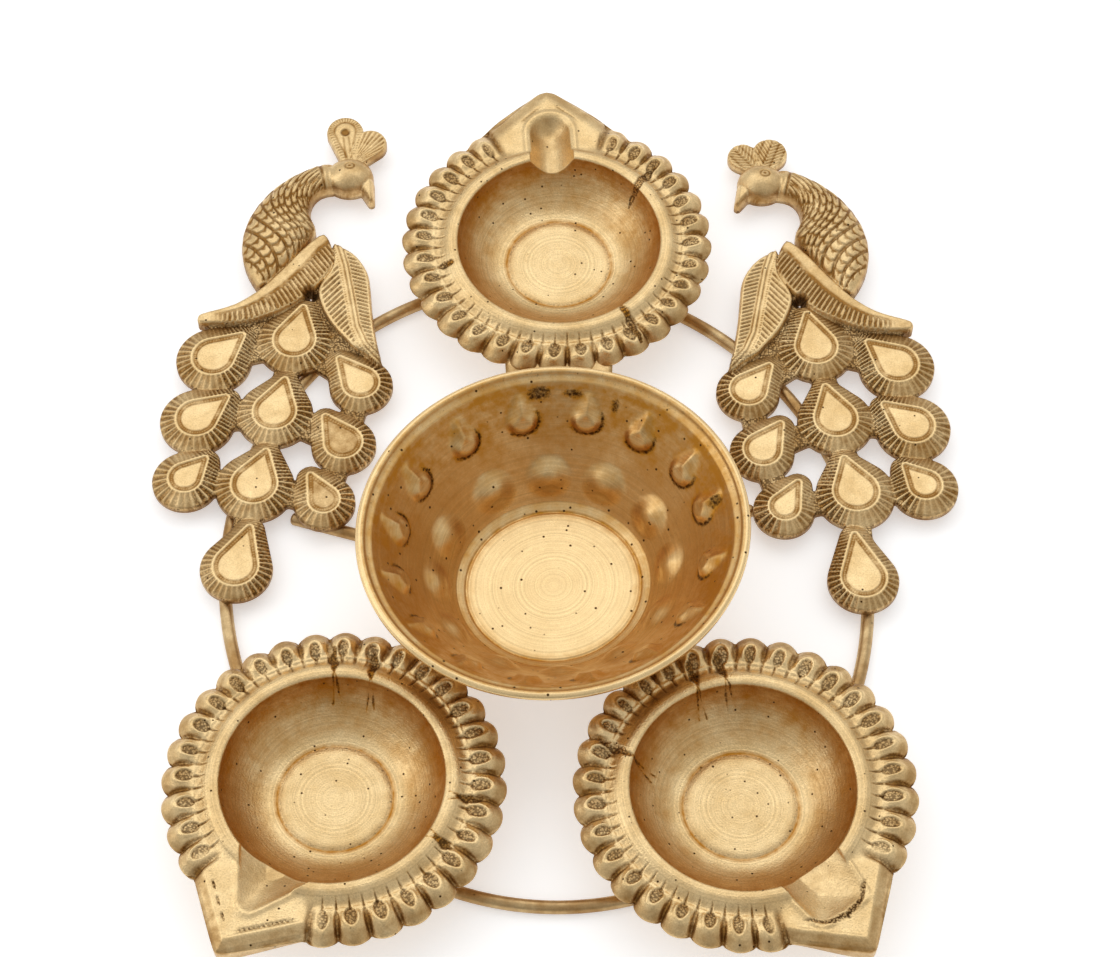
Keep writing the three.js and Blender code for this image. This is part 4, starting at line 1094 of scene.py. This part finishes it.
def feather_relief(x, y, feather, dull):
    """One feather: height, patina and beads, and a height of 0 outside its lobe."""
    middle = feather_middle(feather)
    eye, place = drop_distance(x, y, middle, feather["width"] / 2, feather["tip"], 1)
    lobe = lobe_distance(x, y, feather)
    share = np.clip((eye - 0.5) / np.maximum(eye - lobe - 0.5, 0.2), 0, 1)
    height = EYE_TOP - (EYE_TOP - BIRD_EDGE) * share ** 1.15
    skirt = smooth(0.35, 0.75, eye)

    # Barbs: sharp ridges on the bowl's side, low ones elsewhere and next to none at the foot
    toward_bowl = (middle[0] - x) / np.maximum(np.hypot(x - middle[0], y - middle[1]), 0.1)
    lean = 0.55 * smooth(0.3 * feather["width"] * math.pi, 0.75 * feather["width"] * math.pi, place)
    ridge = bars(place + lean * eye, BARB_PITCH, 0.36)
    strength = 0.22 + 0.78 * smooth(0.05, 0.7, toward_bowl) + 0.3 * smooth(0.35, 0.8, -toward_bowl)
    height += skirt * strength * (0.5 * ridge - 0.28) * smooth(1.0, 0.85, share)
    skirt_patina = 0.5 + strength * (0.45 - 0.85 * ridge)
    skirt_beads = 0.75 * strength * (1 - ridge)

    # Eye: a flat drop, two fine lines with beads between them, and a bright border
    lines = np.clip(line_at(eye, -1.5, 0.3) + line_at(eye, -0.5, 0.3), 0, 1)
    between = smooth(-1.5, -1.25, eye) * smooth(-0.5, -0.75, eye)
    dots = 0.5 + 0.5 * np.cos(2 * np.pi * place / 0.9)
    height -= 0.26 * lines + 0.1 * between * (1 - dots)
    height += 0.15 * smooth(-0.4, -0.1, eye) * smooth(0.75, 0.3, eye)
    patina_and_shade = lines + between * (0.5 + 0.4 * (1 - dots)) + (0.1 + dull) * smooth(-1.4, -1.7, eye)
    patina_and_shade = patina_and_shade * (1 - skirt) + skirt_patina * skirt
    return np.where(lobe < 0, height, 0), patina_and_shade, skirt_beads * skirt


def long_wing_relief(x, y):
    """A plain band along the wing's upper edge and a row of short bars below it."""
    edge = outline_distance(x, y, long_wing)
    below_top, place, _ = along_line(x, y, wing_top_line)
    above_foot = along_line(x, y, wing_foot_line)[0]
    share = below_top / (below_top + above_foot + 0.01)
    height = WING_HEIGHT - bevelled(edge, WING_BEVEL)
    reach = smooth(LONG_WING_LENGTH, LONG_WING_LENGTH - 8, place)
    in_row = smooth(0.38, 0.44, share) * smooth(0.97, 0.9, share) * reach
    ridge = bars(place - 0.3 * below_top, **LONG_WING_BARS)
    groove = line_at(share * 7, 2.55, 0.55) * reach
    height += in_row * (0.15 * ridge - 0.35 * (1 - ridge)) - 0.3 * groove
    patina_and_shade = in_row * (0.15 + 0.7 * (1 - ridge)) + 0.8 * groove + 0.25
    return np.where(edge < 0, height, 0), patina_and_shade, in_row * 0.3 * (1 - ridge)


def folded_wing_relief(x, y):
    """Two leaves of slanting bars on either side of a smooth midrib."""
    edge = outline_distance(x, y, folded_wing)
    away, place, side = along_line(x, y, MIDRIB)
    outer = side < 0
    height = WING_HEIGHT - bevelled(edge, WING_BEVEL)
    outer_bars = bars((0.33 * x - y) / 1.053, **OUTER_BARS)
    inner_bars = bars((1.17 * x + y) / 1.539, **INNER_BARS)
    on_outer = outer * smooth(1.1, 1.5, away) * smooth(-0.9, -1.4, edge)
    on_inner = ~outer * smooth(2.4, 2.8, away) * smooth(-0.9, -1.4, edge)
    low_end = smooth(-25, -20, y)
    gaps = (on_outer * (1 - outer_bars) + on_inner * (1 - inner_bars)) * (0.35 + 0.65 * low_end)
    height -= 0.38 * gaps
    rib = line_at(away, 0.75, 0.36)
    height += 0.25 * smooth(0.9, 0.4, away) - 0.3 * rib
    dots = line_at(away, 1.95, 0.5) * ~outer * smooth(-0.1, 0.4, np.cos(2 * np.pi * place / 0.95))
    height -= 0.15 * dots
    patina_and_shade = 0.6 * gaps + 0.8 * rib + 0.75 * dots + 0.1
    return np.where(edge < 0, height, 0), patina_and_shade, 0.35 * gaps + 0.5 * smooth(-17, -21, y)


def on_stations(line, places):
    """Points of a line at places counted in its own stations."""
    return np.stack([np.interp(places, range(len(line)), np.array(line)[:, i]) for i in (0, 1)], 1)


def neck_places(x, y):
    """Each point's station along the neck, from the head, and its place from throat to back."""
    stations = len(NECK_BACK)
    fine = np.linspace(0, stations - 1, 45 * stations)
    back, throat = on_stations(NECK_BACK, fine), on_stations(NECK_THROAT, fine)
    best, station, across = np.full(len(x), 1e9), np.zeros(len(x)), np.zeros(len(x))
    for at, near, far in zip(fine, throat, back):
        away, share = beside_line(x, y, near, far)
        closer = away < best
        best = np.where(closer, away, best)
        station = np.where(closer, at, station)
        across = np.where(closer, 2 * share - 1, across)
    return station, across


def neck_relief(x, y):
    """A half-round dome with curved rows of tiles; row counts the grooves between them."""
    edge = outline_distance(x, y, neck_loop)
    station, across = neck_places(x, y)
    rise = np.interp(station, range(len(NECK_RISE)), NECK_RISE)
    dome = np.sqrt(np.clip(1 - across ** 2, 0, 1))
    height = BIRD_EDGE + dome * (NECK_HEIGHT * rise - BIRD_EDGE)
    height -= 1.5 * smooth(0.7, 0, station)

    # Rows slant less towards the wings, so a row's number depends on itself and settles in rounds
    row = station + 1
    for _ in range(ROW_ROUNDS):
        row = station + 2.3 - (1 - across) * (3.1 - 0.33 * np.clip(row - 4, 0, 4))
    number = np.floor(row)
    within = row - number - 0.5
    run = -(x + 1.15 * y) / 1.524
    tile = (run + 1.3 * (2 * within) ** 2) / TILE_LENGTH + 0.5 * (number % 2) + 0.37 * np.sin(5 * number)
    scaled = smooth(0.85, 1.0, station) * smooth(11.6, 11.4, row) * smooth(-0.3, -0.9, edge)
    grooves = smooth(0.33, 0.43, np.abs(within)) * scaled
    ends = bars(tile, 1, 0.2) * smooth(0.45, 0.36, np.abs(within)) * scaled
    collar = line_at(station, 0.78, 0.14) * smooth(-0.3, -0.9, edge)
    grooves = np.maximum(grooves, collar)
    dimple = np.hypot((tile % 1 - 0.22) * TILE_LENGTH, within * 3) < 0.42
    height -= 0.55 * grooves + 0.55 * ends + 0.12 * dimple * scaled
    height += 0.18 * (1 - (2 * within) ** 2) * scaled
    patina_and_shade = 0.2 + 0.9 * grooves + 0.95 * ends + 0.5 * dimple * scaled
    patina_and_shade += 0.35 * smooth(0.75, 0.97, np.abs(across))
    return np.where(edge < 0, height, 0), patina_and_shade, 0.3 * grooves


def roped_lobe(lobe, along, beside):
    """Two strands of slanting ticks, side by side."""
    ticks = (1 - bars(along + 0.9 * np.abs(beside), 1.5, 0.5)) * smooth(-0.5, -1, lobe)
    split = line_at((beside + 50) % 2.6, 1.3, 0.5)
    return -0.3 * ticks - 0.25 * split, 0.5 * ticks + 0.5 * split


def hollow_lobe(lobe, place, along, beside):
    """A border of ticks round a hollow eye, with two lines down to the head."""
    border = smooth(-0.5, -0.8, lobe) * smooth(-2.3, -2, lobe)
    ticks = border * (1 - bars(place, 1.15, 0.6))
    inner = line_at(lobe, -2.5, 0.5)
    hollow = smooth(1.9, 0.8, np.hypot(along - 0.5, beside))
    spines = line_at(np.abs(beside), 0.9, 0.5) * smooth(1.5, 3, along)
    relief = -0.2 * ticks - 0.3 * inner - 0.6 * hollow - 0.2 * spines
    return relief, 0.55 * ticks + 0.7 * inner + 0.9 * hollow + 0.6 * spines


def fan_lobe(lobe, radius, along, beside):
    """Rays that spread from the lobe's foot."""
    fan = np.arctan2(beside, radius + 5 - along) * 9
    rays = (1 - bars(fan, 1, 0.55)) * smooth(-0.6, -1, lobe)
    return -0.25 * rays, 0.6 * rays


def head_relief(x, y, bird):
    """Smooth dome of the head, its eye, the beak, and the crest's two lobes."""
    share = head_share(x, y)
    dome = BIRD_EDGE + (HEAD["height"] - BIRD_EDGE) * np.sqrt(np.clip(1 - share ** 2, 0, 1))
    height = np.where(share < 1, dome, 0)
    eye = np.hypot((x - bird["eye"][0]) / 1.5, (y - bird["eye"][1]) / 1.3)
    ring, pupil = line_at(eye, 1, 0.3), smooth(0.45, 0.2, eye)
    height -= (0.4 * ring + 0.35 * pupil) * (share < 1)
    patina_and_shade = 0.32 + 0.7 * ring + 0.7 * pupil + 0.4 * smooth(0.75, 1, share)

    beak = beak_distance(x, y, bird)
    cone = BIRD_EDGE + (BEAK["height"] - BIRD_EDGE) * np.sqrt(np.clip(-beak / 1.5, 0, 1))
    on_beak = (beak < 0) & (cone > height)
    patina_and_shade = np.where(on_beak, 0.25, patina_and_shade)
    height = np.where(on_beak, cone, height)

    for number, (centre, radius) in enumerate(bird["crest"]):
        lobe, place = drop_distance(x, y, centre, radius, CREST_ROOT["place"], CREST_ROOT["radius"])
        along, beside = along_and_beside(x, y, centre, CREST_ROOT["place"])
        if bird["ropes"]:
            relief, tone = roped_lobe(lobe, along, beside)
        elif number == 0:
            relief, tone = hollow_lobe(lobe, place, along, beside)
        else:
            relief, tone = fan_lobe(lobe, radius, along, beside)
        top = CREST_HEIGHT - bevelled(lobe, CREST_BEVEL) + relief
        higher = (lobe < 0) & (top > height)
        height = np.where(higher, top, height)
        patina_and_shade = np.where(higher, 0.15 + tone, patina_and_shade)
    return height, patina_and_shade, np.zeros(len(x))


def pierced_plate(bird):
    """A closed flat plate cut to the bird's outline, with a field that is 1 on its upper points."""
    low, high = [np.array(corner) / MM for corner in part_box(bird["name"])]
    middle, half = (low + high)[:2] / 2 - bird["origin"], (high - low)[:2] / 2 + 1
    shape = bmesh.new()
    place = Matrix.Translation((*middle, 0)) @ Matrix.Diagonal((*half, 1, 1))
    bmesh.ops.create_grid(shape, x_segments=round(2 * half[0] / BIRD_PITCH),
                          y_segments=round(2 * half[1] / BIRD_PITCH), size=1, matrix=place)
    corners = np.array([corner.co[:2] for corner in shape.verts])
    outside = bird_distance(bird["side"] * corners[:, 0], corners[:, 1], bird) > BIRD_PITCH / 2
    unwanted = [corner for corner, out in zip(shape.verts, outside) if out]
    bmesh.ops.delete(shape, geom=unwanted, context="VERTS")
    loose = [corner for corner in shape.verts if not corner.link_faces]
    bmesh.ops.delete(shape, geom=loose, context="VERTS")

    # The cut edge is drawn onto the outline, then pulled down to the flat underside
    top = shape.verts.layers.float.new("top")
    for corner in shape.verts:
        corner[top] = 1
    border = [edge for edge in shape.edges if edge.is_boundary]
    rim = list({corner for edge in border for corner in edge.verts})
    spots = np.array([corner.co[:2] for corner in rim])
    for _ in range(3):
        x, y = bird["side"] * spots[:, 0], spots[:, 1]
        gap = bird_distance(x, y, bird)
        slope = np.stack([bird["side"] * (bird_distance(x + 0.01, y, bird) - gap),
                          bird_distance(x, y + 0.01, bird) - gap], 1) / 0.01
        spots = spots - 0.9 * gap[:, None] * slope
    for corner, spot in zip(rim, spots):
        corner.co.x, corner.co.y = spot
    walls = bmesh.ops.extrude_edge_only(shape, edges=border)["geom"]
    low_corners = {part for part in walls if isinstance(part, bmesh.types.BMVert)}
    for corner in low_corners:
        corner[top] = 0
    low_edges = [part for part in walls if isinstance(part, bmesh.types.BMEdge)
                 and part.verts[0] in low_corners and part.verts[1] in low_corners]
    bmesh.ops.translate(shape, vec=(0, 0, -1), verts=list(low_corners))

    # The pin hole narrows downwards, as its sand core did
    hole_x, hole_y = bird["side"] * PIN_HOLE["place"][0], PIN_HOLE["place"][1]
    for corner in low_corners:
        if math.hypot(corner.co.x - hole_x, corner.co.y - hole_y) < PIN_HOLE["radius"] + 0.1:
            corner.co.x = hole_x + PIN_HOLE["low_share"] * (corner.co.x - hole_x)
            corner.co.y = hole_y + PIN_HOLE["low_share"] * (corner.co.y - hole_y)

    # The fill is told which way it faces, or it doubles a sliver of the left bird's underside
    bmesh.ops.triangle_fill(shape, use_beauty=False, edges=low_edges, normal=(0, 0, -1))
    bmesh.ops.recalc_face_normals(shape, faces=shape.faces)
    return shape


def bird_mesh(bird):
    """One peacock: the pierced plate, raised to its relief and set in place."""
    mesh = mesh_of(bird["name"], pierced_plate(bird))
    on_top = taken_field(mesh, "top") > 0.5
    points = points_of(mesh)
    x, y = bird["side"] * points[:, 0], points[:, 1]

    # The highest of the reliefs shows, over a stippled ground between the feathers
    height = np.full(len(points), BIRD_EDGE)
    train_ground = smooth(16, 10, y)
    patina_and_shade, beads = 0.45 + 0.2 * train_ground, 0.8 * train_ground
    reliefs = [feather_relief(x, y, feather, 0.5 * (number in bird["dull"]))
               for number, feather in enumerate(train_of(bird))]
    reliefs += [folded_wing_relief(x, y), long_wing_relief(x, y), neck_relief(x, y), head_relief(x, y, bird)]
    for level, tone, dots in reliefs:
        higher = level > height
        height = np.where(higher, level, height)
        patina_and_shade = np.where(higher, tone, patina_and_shade)
        beads = np.where(higher, dots, beads)
    neck, head = reliefs[-2][0], reliefs[-1][0]
    joined = (neck > 5) & (head > 5)
    height = np.where(joined, -soft_minimum(-neck, -head, 1.2), height)

    # The cut edge is rounded over, and its side is as it came from the sand
    edge = bird_distance(x, y, bird)
    height -= bevelled(edge, CUT_BEVEL)
    patina_and_shade = np.maximum(patina_and_shade, 0.5 * smooth(-0.4, 0, edge))
    height = np.where(on_top, height, 0)
    keep_field(mesh, "patina_and_shade", np.clip(np.where(on_top, patina_and_shade, 0.95), 0, 1))
    keep_field(mesh, "beads", np.clip(np.where(on_top, beads, 0), 0, 1))
    # The pin hole's wall is painted dark in the soot colour: painted shade inside the hole
    from_hole = np.hypot(x - PIN_HOLE["place"][0], y - PIN_HOLE["place"][1])
    keep_field(mesh, "soot_and_shade", 0.5 * smooth(PIN_HOLE["radius"] + 0.1, PIN_HOLE["radius"] - 0.3, from_hole))
    keep_field(mesh, "turning", 0)
    move_points(mesh, np.stack([points[:, 0] + bird["origin"][0], points[:, 1] + bird["origin"][1],
                                height + SEAT_HEIGHT], 1))
    return mesh


# The flat underside meets the walls in a sharp edge
for bird in BIRDS:
    bird_piece = brass_piece(bird["name"], bird_mesh(bird), cast_brass)
    for face in bird_piece.data.polygons:
        face.use_smooth = face.normal.z > -0.9


# Struts: two lengths of the same rod, brazed to the bowl's foot and running out under the tails.
# Their inner ends are shaped to the bowl's slanting wall and their outer ends are rounded.

STRUT_ENDS = {"strut_left": (-81.12, 24.01), "strut_right": (62.13, 27.19)}
STRUT_GAP = 0.3
STRUT_STEPS = 40
STRUT_END_STEPS = 9
STRUT_END_ROUND = 0.6 * rod_radius

for name, (end_x, end_y) in STRUT_ENDS.items():
    length, turn = math.hypot(end_x, end_y), math.atan2(end_y, end_x)
    swing = np.linspace(0, math.pi / 2, STRUT_END_STEPS)
    rounded_end = np.stack([rod_radius * np.cos(swing), length - STRUT_END_ROUND * (1 - np.sin(swing))], 1)
    stem = np.stack([np.full(STRUT_STEPS, rod_radius),
                     np.linspace(BOWL_FOOT_RADIUS, rounded_end[0][1], STRUT_STEPS)], 1)
    strut_profile = np.concatenate([[[0, BOWL_FOOT_RADIUS], [rod_radius / 2, BOWL_FOOT_RADIUS]],
                                    stem, rounded_end[1:-1], [[0, length]]])
    shape = spun(strut_profile, ROD_SIDES, 1)
    lie = Matrix.Rotation(math.pi / 2, 4, "Y")
    bmesh.ops.transform(shape, matrix=lie, verts=shape.verts)
    strut_mesh = mesh_of(name, shape)
    order = taken_field(strut_mesh, "order")
    points = points_of(strut_mesh)
    points[:, 2] += rod_radius
    shift = math.cos(turn - BOWL_TURN) / BOWL_OVALNESS, math.sin(turn - BOWL_TURN) * BOWL_OVALNESS
    wall = bowl_radius(points[:, 2]) / math.hypot(*shift)
    foot_end = np.sqrt(np.maximum((wall + STRUT_GAP) ** 2 - points[:, 1] ** 2, 1))
    at_foot = smooth(BOWL_FOOT_RADIUS + 8, BOWL_FOOT_RADIUS, points[:, 0])
    points[:, 0] += at_foot * (foot_end - BOWL_FOOT_RADIUS)
    turned_points = points @ np.array(Matrix.Rotation(turn, 3, "Z")).T
    move_points(strut_mesh, turned_points)
    # Patina all over, and browner still on the underside near the table: painted shade
    keep_field(strut_mesh, "patina_and_shade", 0.4 + 0.5 * smooth(1.6, 0.2, points[:, 2]))
    keep_field(strut_mesh, "beads", 0)
    keep_field(strut_mesh, "turning", 0)
    brass_piece(name, strut_mesh, drawn_brass)


# Studio: a white table, a soft box above and behind, one on the left, and a pale room round them
# with a dark patch low in front, below the camera, which the far walls of the cups reflect.

TABLE_RADIUS = 30000
TABLE_GAP = 0.05
TABLE_GLOW = 0.42
CAMERA_PLACE = (0.00197, -0.43668, 0.78008)
CAMERA_TILT = math.radians(31.404)
CAMERA_LENS = 94.108
CAMERA_SENSOR = 36

floor_material = bpy.data.materials.new("white_table")
floor_material.use_nodes = True
tree = floor_material.node_tree
tree.nodes.clear()
matt = add_node(tree, "ShaderNodeBsdfDiffuse", {"Color": linear_colour("#F2F2F2")}, {})

# The table's own glow is seen by the camera and in reflections, and lights nothing that is matt
seen = add_node(tree, "ShaderNodeLightPath", {}, {})
straight = add_node(tree, "ShaderNodeMath", {"operation": "MAXIMUM"}, {
    0: seen.outputs["Is Camera Ray"], 1: seen.outputs["Is Transmission Ray"]}).outputs[0]
shown = add_node(tree, "ShaderNodeMath", {"operation": "MAXIMUM"}, {
    0: straight, 1: seen.outputs["Is Glossy Ray"]}).outputs[0]
lift = add_node(tree, "ShaderNodeMath", {"operation": "MULTIPLY", 1: TABLE_GLOW}, {0: shown}).outputs[0]
glow = add_node(tree, "ShaderNodeEmission", {"Color": (1, 1, 1, 1)}, {"Strength": lift})
both = add_node(tree, "ShaderNodeAddShader", {}, {0: matt.outputs[0], 1: glow.outputs[0]})
add_node(tree, "ShaderNodeOutputMaterial", {}, {"Surface": both.outputs[0]})

shape = bmesh.new()
bmesh.ops.create_circle(shape, cap_ends=True, segments=64, radius=TABLE_RADIUS)
bmesh.ops.translate(shape, vec=(0, 0, -TABLE_GAP), verts=shape.verts)
table_mesh = mesh_of("table", shape)
table_mesh.materials.append(floor_material)
table = bpy.data.objects.new("table", table_mesh)
bpy.context.scene.collection.objects.link(table)

world = bpy.data.worlds.new("studio")
bpy.context.scene.world = world
world.use_nodes = True
tree = world.node_tree
tree.nodes.clear()

# The room is a little brighter behind the table than in front of it
direction = add_node(tree, "ShaderNodeTexCoord", {}, {}).outputs["Generated"]
parts = add_node(tree, "ShaderNodeSeparateXYZ", {}, {"Vector": direction})
level = add_node(tree, "ShaderNodeMapRange", {
    "From Min": -0.7, "From Max": 0.5, "To Min": 0.62, "To Max": 0.74,
    "interpolation_type": "SMOOTHSTEP"}, {"Value": parts.outputs["Y"]}).outputs["Result"]

# The dark patch fades out between 12 and 30 degrees from its middle
ahead = add_node(tree, "ShaderNodeVectorMath", {
    "operation": "DOT_PRODUCT", 1: (0, -0.94, 0.34)}, {0: direction}).outputs["Value"]
shade = add_node(tree, "ShaderNodeMapRange", {
    "From Min": 0.87, "From Max": 0.98, "To Min": 1, "To Max": 0.6,
    "interpolation_type": "SMOOTHSTEP"}, {"Value": ahead}).outputs["Result"]
level = add_node(tree, "ShaderNodeMath", {"operation": "MULTIPLY"}, {0: level, 1: shade}).outputs[0]
light = add_node(tree, "ShaderNodeBackground", {"Color": (1, 1, 1, 1)}, {"Strength": level})
add_node(tree, "ShaderNodeOutputWorld", {}, {"Surface": light.outputs[0]})


def soft_box(name, place, aim, size, power):
    """An area lamp with its face towards aim; places and sizes are in metres."""
    lamp = bpy.data.lights.new(name, "AREA")
    lamp.shape = "RECTANGLE"
    lamp.size, lamp.size_y = size
    lamp.energy = power
    box = bpy.data.objects.new(name, lamp)
    box.location = place
    box.rotation_euler = (Vector(aim) - Vector(place)).to_track_quat("-Z", "Y").to_euler()
    bpy.context.scene.collection.objects.link(box)


soft_box("soft_box_behind", (0, 0.62, 0.98), (0, 0, 0), (1.5, 0.9), 2.7)
soft_box("soft_box_left", (-0.9, 0.1, 0.7), (0, 0, 0), (0.6, 0.9), 1.5)

# Camera: above and in front of the piece, looking down 58.6 degrees, as in the photograph
camera_data = bpy.data.cameras.new("camera")
camera_data.sensor_width = CAMERA_SENSOR
camera_data.lens = CAMERA_LENS
camera_data.clip_start = 0.01
camera = bpy.data.objects.new("camera", camera_data)
camera.location = CAMERA_PLACE
camera.rotation_euler = (CAMERA_TILT, 0, 0)
bpy.context.scene.collection.objects.link(camera)
bpy.context.scene.camera = camera
bpy.context.scene.view_settings.view_transform = "Standard"
